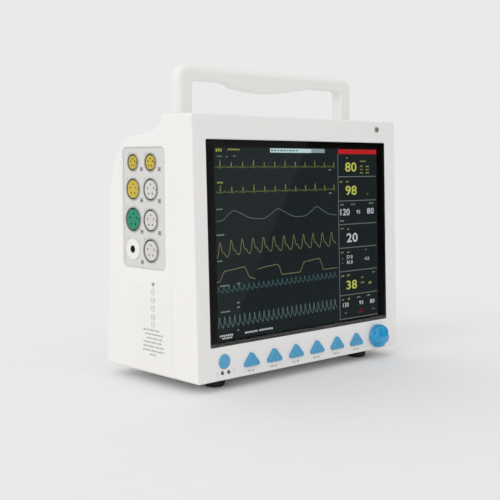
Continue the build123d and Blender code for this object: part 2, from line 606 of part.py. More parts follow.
DOME_MID = (KNOB_R * 0.55, KNOB_PROUD - 0.9)     # a point on the knob's domed front
LOBE_AT = KNOB_R + KNOB_SCALLOP_R - KNOB_SCALLOP - KNOB_DRAW / 2
with BuildPart() as knob:
    knob_turn = Plane(origin=DIAL.origin, x_dir=(1, 0, 0), z_dir=DIAL.x_dir.cross(DIAL.z_dir))
    with BuildSketch(knob_turn):
        with BuildLine():
            side = Polyline(
                (0, DIAL_GAP), (KNOB_R, DIAL_GAP), (KNOB_R, DIAL_GAP + KNOB_RIM),
                (KNOB_R - KNOB_DRAW, KNOB_PROUD - KNOB_SHOULDER),
            )
            dome = ThreePointArc(side @ 1, DOME_MID, (0, KNOB_PROUD))
            Line(dome @ 1, (0, DIAL_GAP))
        make_face()
    revolve(axis=Axis(DIAL.origin, DIAL.z_dir))
    with BuildSketch(DIAL.offset(DIAL_GAP + KNOB_RIM)):
        with PolarLocations(LOBE_AT, KNOB_LOBES, start_angle=180 / KNOB_LOBES):
            Circle(KNOB_SCALLOP_R)
    extrude(amount=KNOB_PROUD, mode=Mode.SUBTRACT)
    with BuildSketch(DIAL.offset(DIAL_GAP)):
        Circle(SHAFT_R)
    extrude(amount=KNOB_PROUD - KNOB_SKIN - DIAL_GAP, mode=Mode.SUBTRACT)
knob.part.label = "knob"
export_step(knob.part, "parts/knob.step")

# ---------------------------------------------------------------------- rear casing
pocket_x = (HANDLE_IN - POCKET_GAP, HANDLE_OUT + POCKET_GAP)
pocket_y = (HANDLE_FRONT - STOP_GAP, POCKET_END)
pocket_z = BODY_H - PIVOT_DROP - HANDLE_D / 2 - POCKET_FLOOR_GAP
DOOR_AXIS_Z = DOOR_LOW + DOOR_T / 2
SOCKETS = [
    ("socket_temp_rear", SOCKET_FAR, SOCKET_ROWS[0], 9.2),
    ("socket_temp_front", SOCKET_NEAR, SOCKET_ROWS[0], 9.5),
    ("socket_pressure", SOCKET_FAR, SOCKET_ROWS[1], 11.5),
    ("socket_output", SOCKET_NEAR, SOCKET_ROWS[1], 11.8),
    ("socket_ecg", SOCKET_FAR, SOCKET_ROWS[2], 13.0),
    ("socket_oximeter", SOCKET_NEAR, SOCKET_ROWS[2], 12.0),
    ("socket_gas", SOCKET_NEAR, SOCKET_ROWS[3], 12.5),
]
CUFF_SPOT = (-SOCKET_FAR, SOCKET_ROWS[3])
recess_mid = (-(RECESS_NEAR + RECESS_FAR) / 2, (RECESS_LOW + RECESS_HIGH) / 2)
recess_size = (RECESS_FAR - RECESS_NEAR, RECESS_HIGH - RECESS_LOW)
MOUNTS = [
    (sx * MOUNT_PITCH / 2, -MOUNT_DEPTH + sy * MOUNT_PITCH / 2) for sx in (-1, 1) for sy in (-1, 1)
]

# walls of the two handle pockets, thickened side wall, screw and mount bosses
with BuildPart() as inner_walls:
    for sx in (-1, 1):
        with Locations((
            sx * (pocket_x[0] + pocket_x[1]) / 2,
            FRONT_Y + (pocket_y[0] + pocket_y[1]) / 2,
            FOOT_H + pocket_z - POCKET_WALL + 20,
        )):
            Box(
                pocket_x[1] - pocket_x[0] + 2 * POCKET_WALL,
                pocket_y[1] - pocket_y[0] + 2 * POCKET_WALL, 40,
            )
    with BuildSketch(LEFT.offset(-WALL)):
        with Locations(recess_mid):
            RectangleRounded(recess_size[0] + 2 * WALL, recess_size[1] + 2 * WALL, RECESS_R + WALL)
    extrude(amount=-RECESS_DEPTH)
    with BuildSketch(SEAM):
        with Locations(*[(sx * POST_X, POST_LOW) for sx in (-1, 1)]):
            Circle(POST_R)
    extrude(amount=-BODY_D)
    with BuildSketch(SEAM):
        with Locations(*[(sx * POST_X, POST_HIGH) for sx in (-1, 1)]):
            Circle(POST_R)
    extrude(amount=-(STRIP_END - COVER_D))
    with BuildSketch(UNDER):
        with Locations(*MOUNTS):
            Circle(INSERT_R + 2)
    extrude(amount=-(INSERT_LEN + 1.5))
casing_walls = inner_walls.part & outer

with BuildPart() as rear_casing:
    add(split(outer, bisect_by=SEAM, keep=Keep.BOTTOM))
    chamfer([e for e in rear_casing.edges() if on_side(e, SEAM)], SEAM_BEVEL)
    add(cavity, mode=Mode.SUBTRACT)
    add(rebate, mode=Mode.SUBTRACT)
    add(casing_walls)
    # pockets for the handle's legs
    with Locations(*[
        (
            sx * (pocket_x[0] + pocket_x[1]) / 2,
            FRONT_Y + (pocket_y[0] + pocket_y[1]) / 2,
            FOOT_H + pocket_z + 20,
        ) for sx in (-1, 1)
    ]):
        Box(pocket_x[1] - pocket_x[0], pocket_y[1] - pocket_y[0], 40, mode=Mode.SUBTRACT)
    pin_end = pocket_x[1] + POCKET_WALL
    with Locations(Location((0, PIVOT_Y, PIVOT_Z), (0, 90, 0))):
        Cylinder(PIVOT_PIN_R, 2 * pin_end, mode=Mode.SUBTRACT)
    # recess for the sensor panel, and the bores of its sockets
    with BuildSketch(LEFT):
        with Locations(recess_mid):
            RectangleRounded(*recess_size, RECESS_R)
    extrude(amount=-RECESS_DEPTH, mode=Mode.SUBTRACT)
    recess_rim = [
        e for e in rear_casing.edges()
        if on_side(e, LEFT) and RECESS_LOW - 1 < e.center().Z - FOOT_H < RECESS_HIGH + 1
        and RECESS_NEAR - 1 < e.center().Y - FRONT_Y < RECESS_FAR + 1
    ]
    chamfer(recess_rim, RECESS_BEVEL)
    with BuildSketch(LEFT):
        for _, depth, height, radius in SOCKETS:
            with Locations((-depth, height)):
                Circle(radius)
        with Locations(CUFF_SPOT):
            Circle(CUFF_BARREL_R)
    extrude(amount=-3 * WALL, mode=Mode.SUBTRACT)
    # battery opening with its hinge pin holes
    with BuildSketch(RIGHT):
        with Locations(((DOOR_NEAR + DOOR_FAR) / 2, (DOOR_LOW + DOOR_HIGH) / 2)):
            Rectangle(DOOR_FAR - DOOR_NEAR + 2 * SLIP, DOOR_HIGH - DOOR_LOW + 2 * SLIP)
    extrude(amount=-WALL, mode=Mode.SUBTRACT)
    with Locations(Location(
        (BODY_W / 2 - DOOR_T / 2, FRONT_Y + (DOOR_NEAR + DOOR_FAR) / 2, FOOT_H + DOOR_AXIS_Z), (90, 0, 0)
    )):
        Cylinder(HINGE_PIN_R, DOOR_FAR - DOOR_NEAR + 2 * HINGE_PIN_END, mode=Mode.SUBTRACT)
    # connector opening, speaker slots and cooling slots in the back
    with BuildSketch(BACK):
        with Locations((0, IO_V)):
            RectangleRounded(IO_W, IO_H, IO_R)
        for i in range(-(GRILLE_ROWS // 2), GRILLE_ROWS // 2 + 1):
            length = 2 * (SPEAKER_R**2 - (i * SLOT_PITCH) ** 2) ** 0.5 - GRILLE_SHORT
            with Locations((-SPEAKER_X + i * SLOT_PITCH, SPEAKER_V)):
                SlotOverall(length, SLOT_W, rotation=90)
        with Locations((0, VENT_V)):
            with GridLocations(SLOT_PITCH, 0, VENT_COUNT, 1):
                SlotOverall(VENT_H, SLOT_W, rotation=90)
    extrude(amount=-1.6 * WALL, mode=Mode.SUBTRACT)
    # screw holes: shank through the boss floor, head from behind
    with BuildSketch(SEAM):
        with Locations(*CASE_POSTS):
            Circle(SCREW_R)
    extrude(amount=-BODY_D, mode=Mode.SUBTRACT)
    with BuildSketch(SEAM.offset(-BOSS_LEN)):
        with Locations(*CASE_POSTS):
            Circle(SCREW_HEAD_R + SLIP)
    extrude(amount=-BODY_D, mode=Mode.SUBTRACT)
    # brass insert seats and foot stem holes in the underside
    with BuildSketch(UNDER):
        with Locations(*MOUNTS):
            Circle(INSERT_R)
    extrude(amount=-INSERT_LEN, mode=Mode.SUBTRACT)
    with BuildSketch(UNDER):
        with Locations(*[(sx * REAR_FOOT[0], -REAR_FOOT[1]) for sx in (-1, 1)]):
            Circle(FOOT_STEM_R)
    extrude(amount=-WALL, mode=Mode.SUBTRACT)
rear_casing.part.label = "rear_casing"
export_step(rear_casing.part, "parts/rear_casing.step")

# ---------------------------------------------------------------------------- handle
with BuildPart() as carry_handle:
    handle_plane = Plane(
        origin=(0, PIVOT_Y - HANDLE_D / 2, 0), x_dir=(1, 0, 0), z_dir=(0, -1, 0)
    )
    foot_z = PIVOT_Z - HANDLE_D / 2
    under_z = TOP_Z + HANDLE_RISE
    with BuildSketch(handle_plane):
        with BuildLine():
            FilletPolyline(
                (-HANDLE_OUT, foot_z), (-HANDLE_OUT, HANDLE_TOP), (HANDLE_OUT, HANDLE_TOP),
                (HANDLE_OUT, foot_z), radius=HANDLE_CORNER_R,
            )
            Line((HANDLE_OUT, foot_z), (HANDLE_IN, foot_z))
            FilletPolyline(
                (HANDLE_IN, foot_z), (HANDLE_IN, under_z), (GRIP[0][0], under_z), radius=HANDLE_BEND_R
            )
            Spline(*[(x, under_z - drop) for x, drop in GRIP], tangents=[(-1, 0), (-1, 0)])
            FilletPolyline(
                (GRIP[-1][0], under_z), (-HANDLE_IN, under_z), (-HANDLE_IN, foot_z), radius=HANDLE_BEND_R
            )
            Line((-HANDLE_IN, foot_z), (-HANDLE_OUT, foot_z))
        make_face()
    extrude(amount=-HANDLE_D)
    crown = [
        e for e in carry_handle.edges()
        if abs(abs(e.center().Y - PIVOT_Y) - HANDLE_D / 2) < 0.01 and e.center().Z > foot_z + 1
        and (e.center().Z > HANDLE_TOP - 8 or abs(e.center().X) > HANDLE_OUT - 5)
    ]
    fillet(crown, HANDLE_CROWN_R)
    inner = [
        e for e in carry_handle.edges()
        if abs(abs(e.center().Y - PIVOT_Y) - HANDLE_D / 2) < 0.01 and e.center().Z > foot_z + 1
        and e.center().Z < HANDLE_TOP - 10 and abs(e.center().X) < HANDLE_IN + 0.5
    ]
    fillet(inner, HANDLE_EDGE_R)
    # knuckles: each leg ends in a half round about the pivot
    with BuildSketch(Plane.YZ):
        with Locations((PIVOT_Y, PIVOT_Z + 100)):
            Rectangle(HANDLE_D, 200)
        with Locations((PIVOT_Y, PIVOT_Z)):
            Circle(HANDLE_D / 2)
    extrude(amount=HANDLE_OUT + 1, both=True, mode=Mode.INTERSECT)
    with Locations(Location((0, PIVOT_Y, PIVOT_Z), (0, 90, 0))):
        Cylinder(PIVOT_PIN_R + RUN, 2 * HANDLE_OUT + 2, mode=Mode.SUBTRACT)
carry_handle.part.label = "carry_handle"
export_step(carry_handle.part, "parts/carry_handle.step")

with BuildPart() as handle_pins:
    for sx in (-1, 1):
        with Locations(Location((sx * (pocket_x[0] + pocket_x[1]) / 2, PIVOT_Y, PIVOT_Z), (0, 90, 0))):
            Cylinder(PIVOT_PIN_R, pocket_x[1] - pocket_x[0] + 2 * POCKET_WALL)
handle_pins.part.label = "handle_pins"
export_step(handle_pins.part, "parts/handle_pins.step")

with BuildPart() as friction_washers:
    washer_x = [sx * (x + POCKET_GAP / 2) for sx in (-1, 1) for x in (pocket_x[0], HANDLE_OUT)]
    for x in washer_x:
        with Locations(Location((x, PIVOT_Y, PIVOT_Z), (0, 90, 0))):
            Cylinder(WASHER_R, POCKET_GAP - 2 * RUN)
    with Locations(Location((0, PIVOT_Y, PIVOT_Z), (0, 90, 0))):
        Cylinder(PIVOT_PIN_R + RUN, 2 * pin_end, mode=Mode.SUBTRACT)
friction_washers.part.label = "friction_washers"
export_step(friction_washers.part, "parts/friction_washers.step")

# ----------------------------------------------------------------------- sensor side
with BuildPart() as sensor_panel:
    with BuildSketch(LEFT.offset(-RECESS_DEPTH)):
        with Locations(recess_mid):
            RectangleRounded(recess_size[0] - 2 * SLIP, recess_size[1] - 2 * SLIP, RECESS_R - SLIP)
        for _, depth, height, radius in SOCKETS:
            with Locations((-depth, height)):
                Circle(radius, mode=Mode.SUBTRACT)
        with Locations(CUFF_SPOT):
            Circle(CUFF_BARREL_R, mode=Mode.SUBTRACT)
    extrude(amount=PANEL_T)
sensor_panel.part.label = "sensor_panel"
export_step(sensor_panel.part, "parts/sensor_panel.step")

panel_face = RECESS_DEPTH - PANEL_T
with BuildPart() as socket_shells:
    with BuildSketch(LEFT.offset(-SOCKET_LEN)):
        for _, depth, height, radius in SOCKETS:
            with Locations((-depth, height)):
                Circle(radius)
    extrude(amount=SOCKET_LEN - panel_face + SOCKET_PROUD)
    with BuildSketch(LEFT.offset(-SOCKET_LEN + SOCKET_END_T)):
        for _, depth, height, radius in SOCKETS:
            with Locations((-depth, height)):
                Circle(radius - SOCKET_WALL)
    extrude(amount=SOCKET_LEN, mode=Mode.SUBTRACT)
socket_shells.part.label = "socket_shells"
export_step(socket_shells.part, "parts/socket_shells.step")

for name, depth, height, radius in SOCKETS:
    core_r = radius - SOCKET_WALL - SOCKET_GAP
    with BuildPart() as core:
        with BuildSketch(LEFT.offset(-SOCKET_LEN + SOCKET_END_T)):
            with Locations((-depth, height)):
                Circle(core_r)
        extrude(amount=SOCKET_LEN - SOCKET_END_T - panel_face + CORE_PROUD)
        with BuildSketch(LEFT):
            with Locations((-depth, height)):
                with PolarLocations(core_r * CONTACT_SPREAD, CONTACT_COUNT, start_angle=90):
                    Circle(CONTACT_R)
                with Locations((core_r, 0)):
                    Rectangle(SLOT_LONG, SLOT_WIDE)
        extrude(amount=-CONTACT_DEPTH, mode=Mode.SUBTRACT)
    core.part.label = name
    export_step(core.part, f"parts/{name}.step")

with BuildPart() as cuff_port:
    with BuildSketch(LEFT.offset(-panel_face)):
        with Locations(CUFF_SPOT):
            Circle(CUFF_R)
    extrude(amount=CUFF_PROUD)
    fillet(cuff_port.faces().sort_by(Axis.X)[0].edges(), CUFF_RIM_R)
    with BuildSketch(LEFT.offset(-panel_face)):
        with Locations(CUFF_SPOT):
            Circle(CUFF_BARREL_R)
    extrude(amount=-(CUFF_BORE_LEN + 2))
    with BuildSketch(LEFT.offset(-panel_face)):
        with Locations(CUFF_SPOT):
            Circle(CUFF_NIPPLE_R)
    extrude(amount=-(SOCKET_LEN + NIPPLE_LEN))
    with BuildSketch(LEFT.offset(-panel_face + CUFF_PROUD)):
        with Locations(CUFF_SPOT):
            Circle(CUFF_BORE_R)
    extrude(amount=-CUFF_BORE_LEN, mode=Mode.SUBTRACT)
    with BuildSketch(LEFT):
        with Locations(CUFF_SPOT):
            Circle(CUFF_NIPPLE_R / 2)
    extrude(amount=-2 * SOCKET_LEN, mode=Mode.SUBTRACT)
cuff_port.part.label = "cuff_port"
export_step(cuff_port.part, "parts/cuff_port.step")

with BuildPart() as sensor_board:
    with BuildSketch(LEFT.offset(-SOCKET_LEN)):
        with Locations(recess_mid):
            RectangleRounded(recess_size[0] - 8, recess_size[1] - 6, 2)
        with Locations(CUFF_SPOT):
            Circle(CUFF_NIPPLE_R + HOSE_WALL + 1, mode=Mode.SUBTRACT)
    extrude(amount=-SENSOR_BOARD_T)
sensor_board.part.label = "sensor_board"
export_step(sensor_board.part, "parts/sensor_board.step")

with BuildPart() as side_label:
    with BuildSketch(LEFT):
        with Locations((-(LABEL_NEAR + LABEL_FAR) / 2, (LABEL_LOW + LABEL_HIGH) / 2)):
            RectangleRounded(LABEL_FAR - LABEL_NEAR, LABEL_HIGH - LABEL_LOW, LABEL_R)
    extrude(amount=LABEL_T)
side_label.part.label = "side_label"
export_step(side_label.part, "parts/side_label.step")

pump_x = SHELF_X[0] + PUMP_IN + PUMP_LEN / 2
pump_y = FRONT_Y + SOCKET_FAR
pump_z = FOOT_H + SHELF_Z + CHASSIS_T + PUMP_GAP + PUMP_R
nipple_x = SHELF_X[0] + PUMP_IN + PUMP_NIPPLE_AT
with BuildPart() as cuff_pump:
    with Locations(Location((pump_x, pump_y, pump_z), (0, 90, 0))):
        Cylinder(PUMP_R, PUMP_LEN)
    with Locations((pump_x, pump_y, pump_z - (PUMP_R + PUMP_GAP) / 2)):
        Box(PUMP_LEN - 2 * PUMP_FOOT_IN, PUMP_FOOT_D, PUMP_R + PUMP_GAP)
    with Locations((nipple_x, pump_y, pump_z + PUMP_R + PUMP_NIPPLE_LEN / 4)):
        Cylinder(CUFF_NIPPLE_R, PUMP_NIPPLE_LEN)
cuff_pump.part.label = "cuff_pump"
export_step(cuff_pump.part, "parts/cuff_pump.step")

with BuildPart() as air_hose:
    hose_z = FOOT_H + SOCKET_ROWS[3]
    with BuildLine() as run:
        FilletPolyline(
            (-BODY_W / 2 + SOCKET_LEN + HOSE_END, pump_y, hose_z), (nipple_x, pump_y, hose_z),
            (nipple_x, pump_y, pump_z + PUMP_R + 1), radius=HOSE_BEND_R,
        )
    with BuildSketch(Plane(origin=run.line @ 0, z_dir=run.line % 0)):
        Circle(CUFF_NIPPLE_R + HOSE_WALL)
        Circle(CUFF_NIPPLE_R, mode=Mode.SUBTRACT)
    sweep()
air_hose.part.label = "air_hose"
export_step(air_hose.part, "parts/air_hose.step")

# ---------------------------------------------------------------------- battery side
with BuildPart() as battery_door:
    with BuildSketch(RIGHT):
        with Locations(((DOOR_NEAR + DOOR_FAR) / 2, (DOOR_AXIS_Z + DOOR_HIGH) / 2)):
            Rectangle(DOOR_FAR - DOOR_NEAR, DOOR_HIGH - DOOR_AXIS_Z)
    extrude(amount=-DOOR_T)
    hinge_at = Location(
        (BODY_W / 2 - DOOR_T / 2, FRONT_Y + (DOOR_NEAR + DOOR_FAR) / 2, FOOT_H + DOOR_AXIS_Z), (90, 0, 0)
    )
    with Locations(hinge_at):
        Cylinder(DOOR_T / 2, DOOR_FAR - DOOR_NEAR)
    with Locations(hinge_at):
        Cylinder(HINGE_PIN_R + RUN, DOOR_FAR - DOOR_NEAR, mode=Mode.SUBTRACT)
    # finger hollow at the top edge
    with BuildSketch(RIGHT):
        with Locations(((DOOR_NEAR + DOOR_FAR) / 2, DOOR_HIGH)):
            SlotOverall(DOOR_GRIP_W, DOOR_GRIP_H)
    extrude(amount=-DOOR_GRIP_DEPTH, mode=Mode.SUBTRACT)
battery_door.part.label = "battery_door"
export_step(battery_door.part, "parts/battery_door.step")

with BuildPart() as door_pin:
    with Locations(hinge_at):
        Cylinder(HINGE_PIN_R, DOOR_FAR - DOOR_NEAR + 2 * HINGE_PIN_END)
door_pin.part.label = "door_pin"
export_step(door_pin.part, "parts/door_pin.step")

bay_mid = ((DOOR_NEAR + DOOR_FAR) / 2, (DOOR_LOW + DOOR_HIGH) / 2)
bay_in = (BATTERY_D + 2 * BAY_FIT, BATTERY_H + 2 * BAY_FIT)
with BuildPart() as battery_bay:
    with BuildSketch(RIGHT.offset(-WALL)):
        with Locations(bay_mid):
            Rectangle(DOOR_FAR - DOOR_NEAR + 2 * BAY_FLANGE, DOOR_HIGH - DOOR_LOW + 2 * BAY_FLANGE)
    extrude(amount=-BAY_T)
    with BuildSketch(RIGHT.offset(-WALL)):
        with Locations(bay_mid):
            Rectangle(bay_in[0] + 2 * BAY_T, bay_in[1] + 2 * BAY_T)
    extrude(amount=-(BATTERY_L + BAY_FIT + BAY_T))
    with BuildSketch(RIGHT.offset(-WALL)):
        with Locations(bay_mid):
            Rectangle(*bay_in)
    extrude(amount=-(BATTERY_L + BAY_FIT), mode=Mode.SUBTRACT)
battery_bay.part.label = "battery_bay"
export_step(battery_bay.part, "parts/battery_bay.step")

with BuildPart() as battery_pack:
    with Locations((
        BODY_W / 2 - WALL - BAY_FIT - BATTERY_L / 2,
        FRONT_Y + bay_mid[0],
        FOOT_H + bay_mid[1] - BAY_FIT,
    )):
        Box(BATTERY_L, BATTERY_D, BATTERY_H)
    fillet(battery_pack.edges().filter_by(Axis.X), BATTERY_R)
battery_pack.part.label = "battery_pack"
export_step(battery_pack.part, "parts/battery_pack.step")

# ------------------------------------------------------------------------------ back
with BuildPart() as io_plate:
    with BuildSketch(BACK.offset(-WALL)):
        with Locations((0, IO_V)):
            RectangleRounded(IO_W + 2 * IO_LAP, IO_H + 2 * IO_LAP, IO_R)
        with Locations((-INLET_X, IO_V)):
            Rectangle(INLET_W, INLET_H, mode=Mode.SUBTRACT)
        with Locations((-NETWORK_X, IO_V)):
            Rectangle(PORT_W, PORT_H, mode=Mode.SUBTRACT)
        with Locations((-SIGNAL_X, IO_V)):
            Rectangle(SIGNAL_W, SIGNAL_H, mode=Mode.SUBTRACT)
        with Locations((-EARTH_X, IO_V)):
            Circle(EARTH_R, mode=Mode.SUBTRACT)
    extrude(amount=-IO_T)
io_plate.part.label = "io_plate"
export_step(io_plate.part, "parts/io_plate.step")

with BuildPart() as ac_inlet:
    with BuildSketch(BACK.offset(-WALL)):
        with Locations((-INLET_X, IO_V)):
            RectangleRounded(INLET_W + 2 * FLANGE_W, INLET_H + 2 * FLANGE_W, INLET_R)
    extrude(amount=FLANGE_OUT)
    with BuildSketch(BACK.offset(-WALL)):
        with Locations((-INLET_X, IO_V)):
            Rectangle(INLET_W, INLET_H)
    extrude(amount=-INLET_LEN)
    with BuildSketch(BACK.offset(-WALL + FLANGE_OUT)):
        with Locations((-INLET_X, IO_V)):
            RectangleRounded(INLET_MOUTH_W, INLET_MOUTH_H, INLET_R)
    extrude(amount=-INLET_MOUTH_LEN, mode=Mode.SUBTRACT)
    with BuildSketch(BACK.offset(-WALL + FLANGE_OUT - INLET_MOUTH_LEN)):
        with Locations(
            (-INLET_X - BLADE_X, IO_V - BLADE_V), (-INLET_X + BLADE_X, IO_V - BLADE_V),
            (-INLET_X, IO_V + BLADE_V),
        ):
            Rectangle(BLADE_W, BLADE_H)
    extrude(amount=INLET_MOUTH_LEN - BLADE_SHORT)
ac_inlet.part.label = "ac_inlet"
export_step(ac_inlet.part, "parts/ac_inlet.step")

with BuildPart() as network_port:
    with BuildSketch(BACK.offset(-WALL - IO_T)):
        with Locations((-NETWORK_X, IO_V)):
            Rectangle(PORT_W, PORT_H)
    extrude(amount=IO_T + FLANGE_OUT)
    with BuildSketch(BACK.offset(-WALL - IO_T)):
        with Locations((-NETWORK_X, IO_V)):
            Rectangle(PORT_W + 2 * PORT_LEDGE, PORT_H + 2 * PORT_LEDGE)
    extrude(amount=-(PORT_LEN - IO_T))
    with BuildSketch(BACK.offset(-WALL + FLANGE_OUT)):
        with Locations((-NETWORK_X, IO_V)):
            Rectangle(PORT_MOUTH_W, PORT_MOUTH_H)
        with Locations((-NETWORK_X, IO_V - PORT_MOUTH_H / 2 - PORT_LATCH_LAP)):
            Rectangle(PORT_LATCH_W, PORT_LATCH_H)
    extrude(amount=-PORT_MOUTH_LEN, mode=Mode.SUBTRACT)
network_port.part.label = "network_port"
export_step(network_port.part, "parts/network_port.step")

with BuildPart() as signal_port:
    with BuildSketch(BACK.offset(-WALL)):
        with Locations((-SIGNAL_X, IO_V)):
            RectangleRounded(SIGNAL_W + 2 * SIGNAL_EAR, SIGNAL_H + 2 * SIGNAL_FLANGE_T, SIGNAL_FLANGE_R)
    extrude(amount=SIGNAL_FLANGE_T)
    with BuildSketch(BACK.offset(-WALL)):
        with Locations((-SIGNAL_X, IO_V)):
            Rectangle(SIGNAL_W, SIGNAL_H)
    extrude(amount=-SIGNAL_LEN)
    shell_size = (SIGNAL_W - SIGNAL_IN, SIGNAL_H - SIGNAL_IN)
    mouth_size = [size - 2 * SIGNAL_SHELL_T for size in shell_size]
    with BuildSketch(BACK.offset(-WALL + SIGNAL_FLANGE_T)):
        with Locations((-SIGNAL_X, IO_V)):
            Trapezoid(*shell_size, SIGNAL_SLANT, rotation=180)
    extrude(amount=SIGNAL_SHELL)
    with BuildSketch(BACK.offset(-WALL + SIGNAL_FLANGE_T + SIGNAL_SHELL)):
        with Locations((-SIGNAL_X, IO_V)):
            Trapezoid(*mouth_size, SIGNAL_SLANT, rotation=180)
    extrude(amount=-SIGNAL_MOUTH_LEN, mode=Mode.SUBTRACT)
signal_port.part.label = "signal_port"
export_step(signal_port.part, "parts/signal_port.step")

with BuildPart() as earth_post:
    earth_end = IO_T + EARTH_NUT_T + 1
    with BuildSketch(BACK.offset(-WALL - earth_end)):
        with Locations((-EARTH_X, IO_V)):
            Circle(EARTH_R)
    extrude(amount=earth_end + EARTH_BASE_T + EARTH_LEN)
    with BuildSketch(BACK.offset(-WALL)):
        with Locations((-EARTH_X, IO_V)):
            Circle(EARTH_BASE_R)
    extrude(amount=EARTH_BASE_T)
    with BuildSketch(BACK.offset(-WALL - IO_T)):
        with Locations((-EARTH_X, IO_V)):
            RegularPolygon(EARTH_NUT_R, 6)
    extrude(amount=-EARTH_NUT_T)
earth_post.part.label = "earth_post"
export_step(earth_post.part, "parts/earth_post.step")

with BuildPart() as speaker:
    with BuildSketch(BACK.offset(-WALL)):
        with Locations((-SPEAKER_X, SPEAKER_V)):
            Circle(SPEAKER_R)
            Circle(SPEAKER_R - SPEAKER_RIM_W, mode=Mode.SUBTRACT)
    extrude(amount=-SPEAKER_RIM_T)
    with BuildSketch(BACK.offset(-WALL - SPEAKER_RIM_T)):
        with Locations((-SPEAKER_X, SPEAKER_V)):
            Circle(SPEAKER_R)
    extrude(amount=-SPEAKER_BASKET_T)
    with BuildSketch(BACK.offset(-WALL - SPEAKER_RIM_T - SPEAKER_BASKET_T)):
        with Locations((-SPEAKER_X, SPEAKER_V)):
            Circle(SPEAKER_MAGNET_R)
    extrude(amount=-(SPEAKER_T - SPEAKER_RIM_T - SPEAKER_BASKET_T))
speaker.part.label = "speaker"
export_step(speaker.part, "parts/speaker.step")

with BuildPart() as power_supply:
    with Locations((SUPPLY_X, FRONT_Y + SUPPLY_DEPTH, FOOT_H + SHELF_Z - SUPPLY_H / 2)):
        Box(SUPPLY_W, SUPPLY_D, SUPPLY_H)
    fillet(power_supply.edges().filter_by(Axis.Z), SUPPLY_R)
power_supply.part.label = "power_supply"
export_step(power_supply.part, "parts/power_supply.step")

# ---------------------------------------------------------------- fixings and feet
with BuildPart() as case_screws:
    with BuildSketch(SEAM.offset(SCREW_BITE)):
        with Locations(*CASE_POSTS):
            Circle(SCREW_R)
    extrude(amount=-(SCREW_BITE + BOSS_LEN))
    with BuildSketch(SEAM.offset(-BOSS_LEN)):
        with Locations(*CASE_POSTS):
            Circle(SCREW_HEAD_R)
    extrude(amount=-SCREW_HEAD_T)
    with BuildSketch(SEAM.offset(-BOSS_LEN - SCREW_HEAD_T)):
        with Locations(*CASE_POSTS):
            Rectangle(CROSS_LONG, CROSS_WIDE)
            Rectangle(CROSS_WIDE, CROSS_LONG)
    extrude(amount=CROSS_DEPTH, mode=Mode.SUBTRACT)
case_screws.part.label = "case_screws"
export_step(case_screws.part, "parts/case_screws.step")

with BuildPart() as inner_screws:
    for spots, seat in [
        (DISPLAY_POSTS, CHASSIS_DEPTH + CHASSIS_T),
        (BOARD_POSTS, KEYBOARD_DEPTH + KEYBOARD_T),
    ]:
        with BuildSketch(FRONT.offset(-seat)):
            with Locations(*spots):
                Circle(SCREW_HEAD_R)
        extrude(amount=-SCREW_HEAD_T)
        with BuildSketch(FRONT.offset(-seat)):
            with Locations(*spots):
                Circle(SCREW_R)
        extrude(amount=seat - WALL - BOARD_BITE)
inner_screws.part.label = "inner_screws"
export_step(inner_screws.part, "parts/inner_screws.step")

with BuildPart() as mount_inserts:
    with BuildSketch(UNDER):
        with Locations(*MOUNTS):
            Circle(INSERT_R)
            Circle(MOUNT_HOLE_R, mode=Mode.SUBTRACT)
    extrude(amount=-INSERT_LEN)
mount_inserts.part.label = "mount_inserts"
export_step(mount_inserts.part, "parts/mount_inserts.step")

with BuildPart() as feet:
    foot_spots = [(sx * x, -y) for sx in (-1, 1) for x, y in (FRONT_FOOT, REAR_FOOT)]
    with BuildSketch(UNDER):
        with Locations(*foot_spots):
            Circle(FOOT_R)
    extrude(amount=FOOT_H, taper=FOOT_TAPER)
    fillet(feet.faces().filter_by(lambda f: abs(f.center().Z) < 0.01).edges(), FOOT_EDGE_R)
    with BuildSketch(UNDER):
        with Locations(*foot_spots):
            Circle(FOOT_STEM_R)
    extrude(amount=-WALL)
    with BuildSketch(UNDER.offset(-WALL)):
        with Locations(*foot_spots):
            Circle(FOOT_STEM_R + 1)
    extrude(amount=-2)
feet.part.label = "feet"
export_step(feet.part, "parts/feet.step")
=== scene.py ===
import json
import math

import bmesh
import bpy
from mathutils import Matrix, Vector


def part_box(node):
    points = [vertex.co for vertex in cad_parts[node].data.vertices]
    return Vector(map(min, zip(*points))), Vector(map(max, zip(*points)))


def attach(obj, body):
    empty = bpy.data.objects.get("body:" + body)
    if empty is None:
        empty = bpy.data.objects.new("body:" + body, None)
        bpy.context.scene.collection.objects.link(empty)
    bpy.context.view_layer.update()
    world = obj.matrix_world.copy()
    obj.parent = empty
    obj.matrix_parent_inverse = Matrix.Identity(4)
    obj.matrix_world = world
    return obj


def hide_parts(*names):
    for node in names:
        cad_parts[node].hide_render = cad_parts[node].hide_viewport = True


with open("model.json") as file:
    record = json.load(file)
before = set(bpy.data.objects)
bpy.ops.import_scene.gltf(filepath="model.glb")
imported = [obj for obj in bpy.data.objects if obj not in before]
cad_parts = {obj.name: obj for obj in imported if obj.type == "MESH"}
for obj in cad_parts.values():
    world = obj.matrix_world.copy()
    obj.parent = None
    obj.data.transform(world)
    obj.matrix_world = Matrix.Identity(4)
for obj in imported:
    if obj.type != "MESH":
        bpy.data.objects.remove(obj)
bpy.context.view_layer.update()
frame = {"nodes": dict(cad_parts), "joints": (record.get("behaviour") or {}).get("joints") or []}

# The frame's landmarks. The dial's axis is square to the raked front, so it gives the
# plane of the front face. The rear casing's box gives the left side.
MM = 0.001
dial_joint = next(j for j in frame["joints"] if j["name"] == "dial_turn")
inward = Vector(dial_joint["axis"]).normalized()
across = Vector((1, 0, 0))
up_face = across.cross(inward)
DIAL_X, DIAL_V = 116.2, 15.9
front_origin = Vector(dial_joint["pos_m"]) - across * DIAL_X * MM - up_face * DIAL_V * MM
rear_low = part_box("rear_casing")[0]


